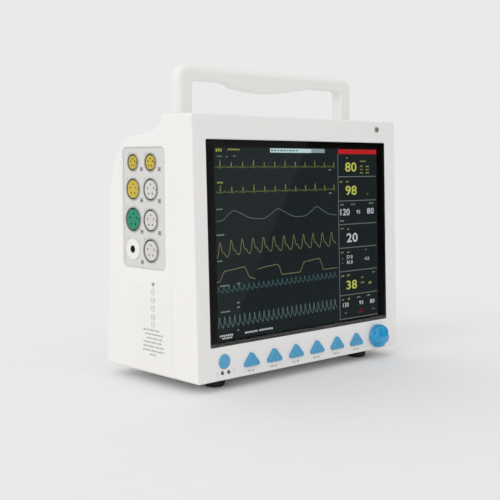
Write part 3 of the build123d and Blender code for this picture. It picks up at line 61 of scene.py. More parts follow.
def on_front(x, v, out=0.0):
    """A point x across and v up the front face, in mm, standing out of it by out."""
    return front_origin + (across * x + up_face * v - inward * out) * MM


def on_left(depth, height, out=0.0):
    """A point on the left side, depth behind the front's foot, in mm."""
    return Vector((rear_low.x - out * MM, front_origin.y + depth * MM, front_origin.z + height * MM))


# ------------------------------------------------------------------------- the studio
# A seamless pale sweep of painted board under an even white sky, as for a product
# shot. A broad soft lamp stands to the left. A black and a grey card stand in front of
# the screen, show only as reflections, and keep the glass dark.


def tone(code):
    """An sRGB hex value as linear red, green, blue and alpha."""
    parts = [int(code[i:i + 2], 16) / 255 for i in (0, 2, 4)]
    linear = [c / 12.92 if c <= 0.04045 else ((c + 0.055) / 1.055) ** 2.4 for c in parts]
    return (*linear, 1.0)


def node(material, kind, links=None, values=None, **settings):
    """Adds a node with its settings, its fixed socket values and what feeds it."""
    added = material.node_tree.nodes.new(kind)
    for name, value in settings.items():
        setattr(added, name, value)
    for name, value in (values or {}).items():
        added.inputs[name].default_value = value
    for name, source in (links or {}).items():
        material.node_tree.links.new(source, added.inputs[name])
    return added


def blank(name):
    """An empty material with nodes."""
    material = bpy.data.materials.new(name)
    material.use_nodes = True
    material.node_tree.nodes.clear()
    return material


def finish_with(material, shader):
    """Joins a shader to the material's output."""
    end = node(material, "ShaderNodeOutputMaterial")
    material.node_tree.links.new(shader.outputs[0], end.inputs["Surface"])
    return material


STUDIO_GREY = "eaeaea"
view = bpy.context.scene.view_settings
view.view_transform = "Standard"

sky = bpy.data.worlds.new("studio_sky")
sky.use_nodes = True
sky.node_tree.nodes["Background"].inputs["Color"].default_value = tone(STUDIO_GREY)
sky.node_tree.nodes["Background"].inputs["Strength"].default_value = 1.0
bpy.context.scene.world = sky

lamp_data = bpy.data.lights.new("soft_lamp", "SUN")
lamp_data.energy = 0.62
lamp_data.angle = math.radians(50)
lamp_data.color = (1.0, 1.0, 0.99)
soft_lamp = bpy.data.objects.new("soft_lamp", lamp_data)
LAMP_FROM = Vector((-0.80, -0.10, 0.52))
soft_lamp.rotation_euler = LAMP_FROM.to_track_quat("Z", "Y").to_euler()
bpy.context.scene.collection.objects.link(soft_lamp)

# A small lamp high on the right shows only as a glint on glossy parts.
glint_data = bpy.data.lights.new("glint_lamp", "AREA")
glint_data.energy = 1.6
glint_data.size = 0.2
glint_lamp = bpy.data.objects.new("glint_lamp", glint_data)
glint_lamp.location = (0.9, -0.9, 0.9)
glint_lamp.rotation_euler = (glint_lamp.location - front_origin).to_track_quat("Z", "Y").to_euler()
glint_lamp.visible_diffuse = glint_lamp.visible_camera = False
bpy.context.scene.collection.objects.link(glint_lamp)

painted_board = blank("painted_board")
board_speckle = node(painted_board, "ShaderNodeTexNoise", values={"Scale": 900.0, "Detail": 2.0})
board_tint = node(
    painted_board, "ShaderNodeMix", data_type="RGBA",
    links={"Factor": board_speckle.outputs["Fac"]},
)
board_tint.inputs["A"].default_value = tone("f1f1f1")
board_tint.inputs["B"].default_value = tone("f4f4f4")
board_skin = node(
    painted_board, "ShaderNodeBsdfPrincipled",
    links={"Base Color": board_tint.outputs["Result"]},
    values={"Roughness": 0.95, "Specular IOR Level": 0.1},
)
finish_with(painted_board, board_skin)


def sheet_mesh(name, corners):
    """A flat object with one face through the given corners."""
    mesh = bpy.data.meshes.new(name)
    mesh.from_pydata([tuple(c) for c in corners], [], [tuple(range(len(corners)))])
    made = bpy.data.objects.new(name, mesh)
    bpy.context.scene.collection.objects.link(made)
    return made


FLOOR_HALF = 9.0
floor = sheet_mesh("floor", [
    (-FLOOR_HALF, -FLOOR_HALF, 0), (FLOOR_HALF, -FLOOR_HALF, 0),
    (FLOOR_HALF, FLOOR_HALF, 0), (-FLOOR_HALF, FLOOR_HALF, 0),
])
floor.data.materials.append(painted_board)


def card_stock(name, colour):
    """Matt card with a short nap, for the studio's cards."""
    material = blank(name)
    nap = node(material, "ShaderNodeTexNoise", values={"Scale": 400.0})
    bump = node(
        material, "ShaderNodeBump", links={"Height": nap.outputs["Fac"]},
        values={"Strength": 0.3, "Distance": 0.001},
    )
    skin = node(
        material, "ShaderNodeBsdfPrincipled", links={"Normal": bump.outputs["Normal"]},
        values={"Base Color": tone(colour), "Roughness": 1.0, "Specular IOR Level": 0.0},
    )
    return finish_with(material, skin)


for name, colour, stand, outline in (
    ("black_card", "0c0c0c", 0.33, [(-0.02, 0.0), (1.02, 0.0), (1.02, 0.62), (-0.02, 0.62)]),
    ("grey_card", "545454", 0.325, [(-0.02, 0.0), (0.112, 0.0), (0.304, 0.30), (-0.02, 0.30)]),
):
    card = sheet_mesh(name, [(x, -stand, z) for x, z in outline])
    card.data.materials.append(card_stock(name + "_stock", colour))
    card.visible_camera = card.visible_diffuse = card.visible_shadow = False

# The camera stands to the left of the front, a little above the middle, and looks
# down by 5 degrees. It is level, with a moderately long lens.
camera_data = bpy.data.cameras.new("camera")
camera_data.sensor_width = 36.0
camera_data.lens = 68.81
camera_data.clip_start = 0.01
camera = bpy.data.objects.new("camera", camera_data)
CAMERA_FROM = Vector((-0.7392, -0.6941, 0.2132))
CAMERA_VIEW = Vector((0.68309, 0.72482, -0.08958))
camera.location = front_origin + CAMERA_FROM
camera.rotation_euler = CAMERA_VIEW.to_track_quat("-Z", "Y").to_euler()
bpy.context.scene.collection.objects.link(camera)
bpy.context.scene.camera = camera

# ------------------------------------------------------------------------- the casing
# Front cover and rear casing are injection-moulded ABS, a warm white. The tool's
# spark-eroded cavity leaves a fine matte grain, with long faint flow marks under it.


FLOW_SIZE = 60.0


def moulded(name, colour, shade, grain, relief, rough, level=0.4):
    """Moulded plastic: two close tones, a grain and relief in mm, and its gloss."""
    material = blank(name)
    place = node(material, "ShaderNodeTexCoord")
    flow = node(
        material, "ShaderNodeTexNoise", links={"Vector": place.outputs["Object"]},
        values={"Scale": 1 / (FLOW_SIZE * MM), "Detail": 3.0, "Roughness": 0.5},
    )
    tint = node(
        material, "ShaderNodeMix", data_type="RGBA", links={"Factor": flow.outputs["Fac"]}
    )
    tint.inputs["A"].default_value = tone(colour)
    tint.inputs["B"].default_value = tone(shade)
    sparks = node(
        material, "ShaderNodeTexNoise", links={"Vector": place.outputs["Object"]},
        values={"Scale": 1 / (grain * MM), "Detail": 4.0, "Roughness": 0.6},
    )
    bump = node(
        material, "ShaderNodeBump", links={"Height": sparks.outputs["Fac"]},
        values={"Strength": 0.5, "Distance": relief * MM},
    )
    sheen = node(
        material, "ShaderNodeMapRange", links={"Value": sparks.outputs["Fac"]},
        values={"From Min": 0.3, "From Max": 0.7, "To Min": rough - 0.05, "To Max": rough + 0.05},
    )
    skin = node(
        material, "ShaderNodeBsdfPrincipled",
        links={
            "Base Color": tint.outputs["Result"],
            "Roughness": sheen.outputs["Result"],
            "Normal": bump.outputs["Normal"],
        },
        values={"IOR": 1.5, "Specular IOR Level": level},
    )
    return finish_with(material, skin)


def coat_node(name, material):
    """Gives a carried CAD node its material on every slot."""
    mesh = frame["nodes"][name].data
    mesh.materials.clear()
    mesh.materials.append(material)
    return frame["nodes"][name]


white_abs = moulded("moulded_white_abs", "f4f2f0", "f1efed", 0.9, 0.03, 0.52)
for name in ("front_bezel", "rear_casing", "battery_door"):
    coat_node(name, white_abs)


def marks(name, shapes, place, thickness, material):
    """One piece made of thin flat prisms: each shape is a list of 2D points in mm."""
    mesh = bpy.data.meshes.new(name)
    build = bmesh.new()
    for shape in shapes:
        low = [build.verts.new(place(a, b, 0.0)) for a, b in shape]
        high = [build.verts.new(place(a, b, thickness)) for a, b in shape]
        build.faces.new(high)
        build.faces.new(list(reversed(low)))
        count = len(shape)
        for i in range(count):
            build.faces.new((low[i], low[(i + 1) % count], high[(i + 1) % count], high[i]))
    bmesh.ops.recalc_face_normals(build, faces=build.faces)
    build.to_mesh(mesh)
    build.free()
    made = bpy.data.objects.new(name, mesh)
    bpy.context.scene.collection.objects.link(made)
    mesh.materials.append(material)
    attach(made, "casing")
    return made


def bar(x, y, width, height):
    """A rectangle about its middle."""
    return [
        (x - width / 2, y - height / 2), (x + width / 2, y - height / 2),
        (x + width / 2, y + height / 2), (x - width / 2, y + height / 2),
    ]


def disc(x, y, radius, count=20):
    """A round mark about its middle."""
    turns = [2 * math.pi * i / count for i in range(count)]
    return [(x + radius * math.cos(t), y + radius * math.sin(t)) for t in turns]


def ring(x, y, radius, width, count=20):
    """A ring as short blocks round its middle."""
    shapes = []
    for i in range(count):
        a, b = 2 * math.pi * i / count, 2 * math.pi * (i + 1) / count
        shapes.append([
            (x + r * math.cos(t), y + r * math.sin(t))
            for r, t in ((radius - width, a), (radius, a), (radius, b), (radius - width, b))
        ])
    return shapes


# Small grey signs are pad-printed under each key, beside the status lamps and above
# the power button. The ink is a thin satin film, and the signs here are plain bars.
grey_ink = moulded("pad_printed_grey_ink", "bdbbb9", "b5b3b1", 0.4, 0.004, 0.45)
INK_T = 0.02
KEY_COUNT, KEY_PITCH, KEY_MIDDLE = 6, 32.55, -1.6
SIGN_V, SIGN_H = 4.6, 1.5
SIGN_WIDTHS = ((4.6, 3.4), (5.6, 2.6), (4.0, 4.0))
key_signs = []
for i in range(KEY_COUNT):
    x = (i - (KEY_COUNT - 1) / 2) * KEY_PITCH + KEY_MIDDLE
    left_word, right_word = SIGN_WIDTHS[i % len(SIGN_WIDTHS)]
    key_signs.append(bar(x - 3.0, SIGN_V, left_word, SIGN_H))
    key_signs.append(bar(x + 2.6, SIGN_V, right_word, SIGN_H))


def print_front(x, v, out):
    """Where ink lies on the front face."""
    return on_front(x, v, out + 0.01)


marks("key_signs", key_signs, print_front, INK_T, grey_ink)
lamp_signs = ring(-128.8, 7.4, 1.9, 0.4, 14)
SUN_X, SUN_V, SUN_R, SUN_DOTS = -106.4, 7.6, 1.7, 8
for k in range(SUN_DOTS):
    turn = 2 * math.pi * k / SUN_DOTS
    lamp_signs.append(disc(SUN_X + SUN_R * math.cos(turn), SUN_V + SUN_R * math.sin(turn), 0.35, 6))
marks("lamp_signs", lamp_signs, print_front, INK_T, grey_ink)

# ------------------------------------------------------------------------ the display
# A clear toughened glass lies in the front cover's rim. A black ink border is printed
# behind it, and the liquid-crystal panel sits a few mm deeper in its metal frame.
clear_glass = blank("toughened_glass")
glass_place = node(clear_glass, "ShaderNodeTexCoord")
glass_smear = node(
    clear_glass, "ShaderNodeTexNoise", links={"Vector": glass_place.outputs["Object"]},
    values={"Scale": 1 / (45 * MM), "Detail": 3.0},
)
glass_sheen = node(
    clear_glass, "ShaderNodeMapRange", links={"Value": glass_smear.outputs["Fac"]},
    values={"From Min": 0.35, "From Max": 0.7, "To Min": 0.012, "To Max": 0.03},
)
glass_skin = node(
    clear_glass, "ShaderNodeBsdfPrincipled", links={"Roughness": glass_sheen.outputs["Result"]},
    values={
        "Base Color": tone("fafdfc"), "IOR": 1.45, "Transmission Weight": 1.0,
        "Specular IOR Level": 0.35,
    },
)
finish_with(clear_glass, glass_skin)
coat_node("display_window", clear_glass)

black_ink = moulded("screen_printed_black_ink", "17120f", "1b1613", 0.5, 0.01, 0.4)
coat_node("display_mask", black_ink)
edge_foam = moulded("closed_cell_foam", "1d1d1d", "242424", 0.7, 0.15, 0.9)
coat_node("window_gasket", edge_foam)


DOT_PITCH = 0.24


def lit(name, colour, dimmer):
    """A lit part of the picture: its dots glow in two close tones over a dark cell."""
    material = blank(name)
    place = node(material, "ShaderNodeTexCoord")
    dots = node(
        material, "ShaderNodeTexChecker", links={"Vector": place.outputs["Object"]},
        values={"Color1": tone(colour), "Color2": tone(dimmer), "Scale": 1 / (DOT_PITCH * MM)},
    )
    skin = node(
        material, "ShaderNodeBsdfPrincipled", links={"Emission Color": dots.outputs["Color"]},
        values={
            "Base Color": tone("0a0b0b"), "Emission Strength": 1.0, "Roughness": 0.6,
            "Specular IOR Level": 0.0,
        },
    )
    return finish_with(material, skin)


# The panel's face is almost black with a green-grey cast where the backlight leaks
# through, a little uneven from place to place.
panel_face = blank("liquid_crystal_panel")
panel_place = node(panel_face, "ShaderNodeTexCoord")
panel_leak = node(
    panel_face, "ShaderNodeTexNoise", links={"Vector": panel_place.outputs["Object"]},
    values={"Scale": 1 / (120 * MM), "Detail": 1.0},
)
panel_tint = node(
    panel_face, "ShaderNodeMix", data_type="RGBA", links={"Factor": panel_leak.outputs["Fac"]}
)
panel_tint.inputs["A"].default_value = tone("1d2325")
panel_tint.inputs["B"].default_value = tone("23282a")
panel_skin = node(
    panel_face, "ShaderNodeBsdfPrincipled",
    links={"Emission Color": panel_tint.outputs["Result"]},
    values={
        "Base Color": tone("0b0d0e"), "Emission Strength": 1.0, "Roughness": 0.6,
        "Specular IOR Level": 0.0,
    },
)
finish_with(panel_face, panel_skin)
coat_node("lcd_panel", panel_face)

# --------------------------------------------------------------------- the picture
# What the panel shows: seven traces on the left, seven boxes of numbers on the right,
# and a message line at the top. Everything is a lit film on the panel's face.
PICTURE_X, PICTURE_V = -124.2, 39.0
PICTURE_DEPTH = 5.8


def on_picture(x, y, out=0.0):
    """A point of the picture, in mm from its lower left corner."""
    return on_front(PICTURE_X + x, PICTURE_V + y, out - PICTURE_DEPTH + 0.04)


LEAST_STEP = 1e-6


def trace(name, runs, width, material):
    """A trace drawn as a thin line through each run of points."""
    shapes = []
    for points in runs:
        for (ax, ay), (bx, by) in zip(points, points[1:]):
            length = math.hypot(bx - ax, by - ay)
            if length < LEAST_STEP:
                continue
            nx, ny = -(by - ay) / length * width / 2, (bx - ax) / length * width / 2
            shapes.append([(ax + nx, ay + ny), (ax - nx, ay - ny), (bx - nx, by - ny), (bx + nx, by + ny)])
    return marks(name, shapes, on_picture, INK_T, material)


def smooth(points, steps=8):
    """More points along a soft curve through the given ones."""
    ends = [points[0], *points, points[-1]]
    fine = []
    for p0, p1, p2, p3 in zip(ends, ends[1:], ends[2:], ends[3:]):
        for i in range(steps):
            t = i / steps
            fine.append(tuple(
                0.5 * (2 * b + (c - a) * t + (2 * a - 5 * b + 4 * c - d) * t * t
                       + (3 * b - a - 3 * c + d) * t**3)
                for a, b, c, d in zip(p0, p1, p2, p3)
            ))
    return [*fine, points[-1]]


yellow_dim = lit("trace_yellow_dim", "707a3e", "687238")
yellow_bright = lit("trace_yellow_bright", "a2aa5c", "9aa256")
blue_grey = lit("trace_blue_grey", "6a747c", "646e76")
olive = lit("trace_olive", "84895a", "7e8356")
khaki = lit("trace_khaki", "85875e", "7f8159")
steel_blue = lit("trace_steel_blue", "4d7478", "486e72")
pale_blue = lit("trace_pale_blue", "6b8482", "667e7c")
TRACE_START, TRACE_END = 3.0, 180.0
BEAT_COUNT, BEAT_FIRST, BEAT_PITCH = 12, 9.5, 15.2
SPIKE_H, WAVE_H = 7.6, 1.5


def spike_top(k):
    """Height of the spike of beat k, which varies a little."""
    return SPIKE_H * (0.82 + 0.18 * math.cos(2.1 * k))


def beats(base):
    """One heart trace: a small wave, a spike and a rounder wave for each beat."""
    points = [(TRACE_START, base)]
    for k in range(BEAT_COUNT):
        x = BEAT_FIRST + k * BEAT_PITCH
        for dx, dy in ((-5.0, 0), (-3.6, 0.9), (-2.4, 0), (-0.9, -0.3), (0, spike_top(k)),
                       (0.8, -1.2), (1.6, 0), (3.8, 0.3), (5.6, WAVE_H), (7.2, 0.2)):
            if TRACE_START < x + dx < TRACE_END:
                points.append((x + dx, base + dy))
    return points


def spikes(base):
    """The bright upper part of each spike."""
    runs = []
    for k in range(BEAT_COUNT):
        x = BEAT_FIRST + k * BEAT_PITCH
        if x < TRACE_END:
            runs.append([(x, base + spike_top(k) * 0.25), (x, base + spike_top(k))])
    return runs


for name, base in (("1", 171.2), ("2", 146.4)):
    trace("heart_trace_" + name, [beats(base)], 0.6, yellow_dim)
    trace("heart_spikes_" + name, spikes(base), 0.5, yellow_bright)
breath = [
    (3, 118.0), (12, 119.6), (20, 125.2), (27, 128.1), (38, 124.4), (48, 120.4), (60, 118.8),
    (71, 119.6), (81, 124.6), (89, 128.0), (101, 123.6), (111, 119.8), (121, 118.8), (131, 119.8),
    (141, 124.8), (148, 128.6), (158, 124.0), (168, 120.0), (180, 118.4),
]
trace("breath_trace", [smooth(breath)], 0.65, blue_grey)
PULSE_PITCH = 14.9
pulse_points = []
for k in range(BEAT_COUNT):
    x = TRACE_START + k * PULSE_PITCH
    for dx, dy in ((0, 84.5), (1.8, 88.6), (3.4, 97.6), (4.4, 99.6), (5.4, 97.0), (6.8, 91.0),
                   (8.4, 89.2), (9.6, 89.4), (11.4, 86.4), (13.4, 84.8)):
        if x + dx < TRACE_END:
            pulse_points.append((x + dx, dy - 2.6 * math.exp(-k * 1.1)))
trace("pulse_trace", [smooth(pulse_points, 3)], 0.65, olive)
gas_first = [
    (1.6, 58.0), (6.5, 59.0), (9.2, 64.5), (12.4, 68.4), (39.3, 71.2), (42.5, 66.5), (46, 60),
    (54.5, 57.6),
]
gas_second = [
    (58.2, 67.4), (70, 69), (87.1, 70.3), (89.8, 66), (92.7, 59.2), (120.6, 59.5), (123.8, 65.0),
    (127.0, 70.0), (151.0, 72.2), (154.2, 66.5), (157.2, 59.4), (180, 59.8),
]
trace("gas_trace", [gas_first, gas_second], 0.65, khaki)
PRESSURE_BEATS, PRESSURE_PITCH, PRESSURE_DRIFT = 26, 6.85, 0.012
for name, middle, rise, lit_in in (
    ("pressure_trace_1", 50.2, 2.9, steel_blue), ("pressure_trace_2", 17.4, 5.2, pale_blue)
):
    points = []
    for k in range(PRESSURE_BEATS):
        x = 2.6 + k * PRESSURE_PITCH
        for dx, share in ((0.0, -1.0), (1.3, 0.9), (1.8, 1.0), (2.4, 0.1), (3.6, -0.45), (5.2, -0.8)):
            points.append((x + dx, middle + rise * share + PRESSURE_DRIFT * x))
    trace(name, [smooth(points, 3)], 0.55, lit_in)

# Lines between the boxes, the red alarm bar, and the message line.
box_line = lit("picture_box_line", "777c7b", "717675")
ruled = [bar(183.6, 92.6, 0.8, 185.2)]
ruled += [bar(216.6, y, 65.4, 0.8) for y in (160.4, 133.4, 107.2, 80.8, 54.5, 27.6, 0.9)]
marks("picture_rules", ruled, on_picture, INK_T, box_line)
alarm_red = lit("picture_red", "c0272b", "b92327")
marks("alarm_bar", [bar(217.0, 188.2, 65.6, 5.2)], on_picture, INK_T, alarm_red)
marks("red_sign", [bar(220.0, 7.4, 7.0, 4.6)], on_picture, INK_T, lit("picture_dark_red", "641c2b", "5e1c28"))
message_pale = lit("picture_message_pale", "c3dce1", "bdd6db")
message_dim = lit("picture_message_dim", "8fa3a6", "899da0")
marks("message_bar", [bar(110.0, 188.5, 62.0, 4.4)], on_picture, INK_T, message_pale)
marks("message_end", [bar(151.7, 188.7, 21.2, 4.4)], on_picture, INK_T, message_dim)
MESSAGE_START, MESSAGE_PITCH, MESSAGE_WORDS = 82.0, 4.6, 9
message_text = [
    bar(MESSAGE_START + i * MESSAGE_PITCH, 188.5, 3.4 - (i % 3) * 0.7, 1.5)
    for i in range(MESSAGE_WORDS)
]


def on_message(x, y, out):
    """A mark on top of the message line."""
    return on_picture(x, y, out + 0.03)


marks("message_words", message_text, on_message, INK_T, lit("picture_ink", "4d6569", "485f63"))

# Words on the picture are rows of short dashes. Numbers are set in a plain sans type.
picture_white = lit("picture_white", "c9cbd2", "c2c4cb")
picture_yellow = lit("picture_yellow", "c4c65c", "bdbf57")
picture_grey = lit("picture_grey", "8b9190", "858b8a")
yellow_words = lit("picture_yellow_words", "9fa352", "999d4e")


DASH_GAP, DASH_LIFT = 0.3, 0.12


def dashes(x, y, width, height, count):
    """A word as a row of dashes from x to x plus width, every second one a little higher."""
    step = width / count
    return [
        bar(x + step * (i + 0.5), y + i % 2 * DASH_LIFT * height, step * (1 - DASH_GAP), height)
        for i in range(count)
    ]


def words(name, material, rows):
    """Words of one colour. Each row is a word's left end, foot, width, height and dashes."""
    shapes = [dash for row in rows for dash in dashes(*row)]
    return marks(name, shapes, on_picture, INK_T, material)


words("words_yellow", yellow_words, [
    (4.0, 188.0, 8.4, 2.9, 3), (20, 188.8, 16.4, 1.5, 7), (5, 156.2, 8, 1.7, 3),
    (221, 177.5, 10.5, 1.2, 4), (221, 172.0, 5, 1.3, 2), (231, 171.6, 6, 1.3, 2),
    (221, 168.2, 5, 1.0, 2), (231, 168.0, 6, 1.0, 2), (221, 164.5, 5, 1.2, 2),
    (231, 164.4, 6, 1.2, 2), (186.0, 154.6, 5, 1.2, 2), (186.4, 49.4, 5, 1.4, 2),
    (196, 49.6, 5, 1.6, 2), (219.5, 39.6, 6.5, 1.4, 2), (220, 45.6, 5, 1.1, 2),
    (233.5, 38.2, 5.4, 2.6, 2), (197, 154.8, 4, 1.5, 2), (197.5, 101.6, 3.6, 1.3, 2),
    (197, 75.6, 4, 1.5, 2), (197, 22.8, 4, 1.8, 2), (233.0, 140.4, 2.4, 1.2, 1),
    (197.5, 181.3, 3.0, 1.1, 1),
])
words("words_white", picture_grey, [
    (168, 168.0, 4.5, 1.3, 2), (168, 142.6, 4.5, 1.5, 2), (3.4, 130.0, 8, 1.2, 4),
    (2.9, 104.6, 10.4, 1.4, 5), (3, 78.8, 7, 1.3, 3), (6, 54.0, 12.6, 1.4, 5),
    (28.5, 54.6, 5, 1.4, 2), (6, 28.0, 12.8, 1.4, 5), (28, 35.4, 4, 1.5, 2),
    (28, 30.8, 4, 1.5, 2), (27.5, 7.8, 3, 1.4, 1), (186.4, 129.2, 6, 1.4, 3),
    (204, 129.2, 8, 1.2, 3), (236, 129.6, 8, 1.5, 3), (186, 111.2, 6.6, 1.5, 3),
    (186.2, 75.8, 5, 1.3, 2), (186.2, 102.6, 6, 1.1, 2), (228, 77.0, 3, 1.2, 1),
    (188, 69.0, 2.2, 1.0, 1), (188, 63.8, 2.2, 1.0, 1), (225.2, 66.6, 3.5, 1.0, 1),
    (240.5, 50.2, 4.5, 1.4, 2), (186.5, 22.6, 4, 1.2, 2), (212.6, 23.4, 6.4, 1.3, 3),
    (230, 24.0, 6.4, 1.4, 3), (239.6, 7.6, 4.0, 1.0, 2), (191, 7.4, 4.4, 1.0, 2),
    (6, 182.0, 6.5, 0.9, 3), (17, 181.6, 3, 0.9, 1), (27, 182.4, 4, 0.9, 2),
])
words("words_below", picture_white, [
    (38, 3.9, 18, 1.8, 7), (58, 4.1, 20, 1.8, 7), (4, 4.2, 18, 1.8, 7),
    (7, 1.6, 14, 1.5, 6),
])


TYPE_SIZE, TYPE_WEIGHT, TYPE_SPACING = 1.38, 0.022, 1.06


def number(name, digits, x, y, height, material, widen):
    """A number in plain type, with its lower left corner at x, y and the given height."""
    type_curve = bpy.data.curves.new(name + "_type", "FONT")
    type_curve.body = digits
    type_curve.size = height * TYPE_SIZE
    type_curve.offset = height * TYPE_WEIGHT
    type_curve.space_character = TYPE_SPACING
    holder = bpy.data.objects.new(name + "_type", type_curve)
    bpy.context.scene.collection.objects.link(holder)
    bpy.context.view_layer.update()
    mesh = bpy.data.meshes.new_from_object(holder)
    bpy.data.objects.remove(holder)
    low = min(v.co.x for v in mesh.vertices)
    base = min(v.co.y for v in mesh.vertices)
    for vertex in mesh.vertices:
        vertex.co = on_picture(x + (vertex.co.x - low) * widen, y + vertex.co.y - base, 0.03)
    mesh.name = name
    mesh.materials.clear()
    mesh.materials.append(material)
    made = bpy.data.objects.new(name, mesh)
    bpy.context.scene.collection.objects.link(made)
    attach(made, "casing")
    return made


WIDE = 1.36
for reading in (
    ("reading_1", "80", 195.8, 166.0, 10.2, picture_yellow, WIDE),
    ("reading_2", "98", 195.8, 139.8, 10.2, picture_yellow, WIDE),
    ("reading_3", "120", 186.6, 117.2, 7.4, picture_white, 1.12),
    ("reading_3_mean", "93", 214.2, 118.4, 4.2, picture_white, 1.1),
    ("reading_3_low", "80", 232.6, 117.6, 6.6, picture_white, 1.3),
    ("reading_4", "20", 196.6, 86.8, 10.0, picture_white, WIDE),
    ("reading_5_a", "37.0", 196.0, 68.4, 3.8, picture_white, 1.1),
    ("reading_5_b", "36.8", 196.0, 62.6, 3.8, picture_white, 1.1),
    ("reading_5_c", "0.2", 229.0, 65.0, 3.4, picture_white, 1.1),
    ("reading_6", "38", 195.2, 33.8, 9.8, picture_yellow, WIDE),
    ("reading_7_a", "120", 188.8, 14.4, 4.6, picture_white, 1.1),
    ("reading_7_b", "93", 216.6, 14.6, 4.4, picture_white, 1.2),
    ("reading_7_c", "80", 235.8, 14.4, 4.8, picture_white, 1.2),
):
    number(*reading)

# --------------------------------------------------------------------------- the keys
# Six keys and the power button are moulded ABS in light blue, with a satin skin. Each
# slides in its own hole in the cover. The edges catch the light on a small bevel.
blue_abs = moulded("moulded_blue_abs", "4fa3ce", "4a9ec9", 0.8, 0.02, 0.34, 0.5)
power_abs = moulded("moulded_power_blue_abs", "5ba8d5", "56a3d0", 0.8, 0.02, 0.36, 0.5)


def soften(name, width):
    """Rounds a CAD node's sharp edges by width mm, as the mould's own radius does."""
    piece = frame["nodes"][name]
    weld = piece.modifiers.new("weld", "WELD")
    weld.merge_threshold = 0.001 * MM
    round_off = piece.modifiers.new("round", "BEVEL")
    round_off.width = width * MM
    round_off.segments = 3
    round_off.limit_method = "ANGLE"
    round_off.angle_limit = math.radians(28)
    round_off.harden_normals = True
    return piece


for i in range(KEY_COUNT):
    coat_node(f"key_{i + 1}", blue_abs)
    soften(f"key_{i + 1}", 0.35)
coat_node("power_button", power_abs)
soften("power_button", 0.3)

# Lamps: two smoked polycarbonate light pipes by the power button and a small domed
# alarm lens in the upper right corner, all unlit.
smoked_lens = moulded("smoked_polycarbonate", "5b5653", "635e5b", 0.6, 0.002, 0.2, 0.6)
coat_node("status_lights", smoked_lens)
alarm_polycarbonate = moulded("frosted_polycarbonate", "6e6d6b", "787775", 0.6, 0.002, 0.12, 0.8)
coat_node("alarm_lens", alarm_polycarbonate)

# --------------------------------------------------------------------------- the dial
# The knob is a moulded ABS cap in deep glossy blue, pressed on the encoder's shaft. Its
# side is lobed for grip, and the dome has a shallow finger dimple near its edge.
glossy_blue = moulded("glossy_blue_abs", "1f9fd4", "1b99ce", 1.6, 0.004, 0.13, 0.8)
KNOB_R, KNOB_GAP, KNOB_TOP = 13.3, 0.95, 12.5
LOBES, LOBE_TURN, LOBE_BITE = 5, math.radians(86), 0.17
FINGER_SPOT, FINGER_DEPTH, FINGER_SPREAD = (1.6, 5.4), 1.7, 10.0
AROUND = 160


def knob_mesh():
    """The lobed dome as rings of points from the back edge over the side to the top."""
    rings = []
    outline = [
        (KNOB_GAP, 0.86), (KNOB_GAP, 0.985), (1.3, 1.0), (2.2, 1.0), (3.6, 1.0), (5.0, 0.992),
        (6.4, 0.975), (7.6, 0.95), (8.7, 0.915), (9.6, 0.87), (10.4, 0.81), (11.0, 0.74), (11.5, 0.65),
        (11.9, 0.55), (12.15, 0.45), (12.33, 0.34), (12.44, 0.23), (12.49, 0.12),
    ]
    mesh = bmesh.new()
    for out, share in outline:
        loop = []
        for i in range(AROUND):
            turn = 2 * math.pi * i / AROUND
            grip = 0.5 * (1 + math.cos(LOBES * (turn - LOBE_TURN)))
            bite = LOBE_BITE * grip**4 * min(1.0, max(0.0, (out - 1.0) / 2.4))
            bite *= min(1.0, share * 1.2) ** 2
            radius = KNOB_R * share * (1 - bite)
            x, y = radius * math.cos(turn), radius * math.sin(turn)
            away = (x - FINGER_SPOT[0]) ** 2 + (y - FINGER_SPOT[1]) ** 2
            dip = FINGER_DEPTH * math.exp(-away / FINGER_SPREAD) if share < 0.93 else 0.0
            point = on_front(DIAL_X + x, DIAL_V + y, max(out, KNOB_GAP) - dip)
            loop.append(mesh.verts.new(point))
        rings.append(loop)
    for a, b in zip(rings, rings[1:]):
        for i in range(AROUND):
            mesh.faces.new((a[i], a[(i + 1) % AROUND], b[(i + 1) % AROUND], b[i]))
    tip = mesh.verts.new(on_front(DIAL_X, DIAL_V, KNOB_TOP))
    back = mesh.verts.new(on_front(DIAL_X, DIAL_V, KNOB_GAP))
    for i in range(AROUND):
        mesh.faces.new((rings[-1][i], rings[-1][(i + 1) % AROUND], tip))
        mesh.faces.new((rings[0][(i + 1) % AROUND], rings[0][i], back))
    bmesh.ops.recalc_face_normals(mesh, faces=mesh.faces)
    made = bpy.data.meshes.new("dial_cap")
    mesh.to_mesh(made)
    mesh.free()
    for face in made.polygons:
        face.use_smooth = True
    return made


dial_cap = bpy.data.objects.new("dial_cap", knob_mesh())
bpy.context.scene.collection.objects.link(dial_cap)
dial_cap.data.materials.append(glossy_blue)
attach(dial_cap, "dial_knob")
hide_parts("knob")

# ------------------------------------------------------------------------- the handle
# The carrying handle is one heavy moulding in the casing's own white, a little glossier
# where hands polish it. Steel pins and fibre washers hold it in the casing's pockets.
handle_abs = moulded("moulded_handle_abs", "f3f2ef", "efeeeb", 1.1, 0.03, 0.42, 0.5)
coat_node("carry_handle", handle_abs)

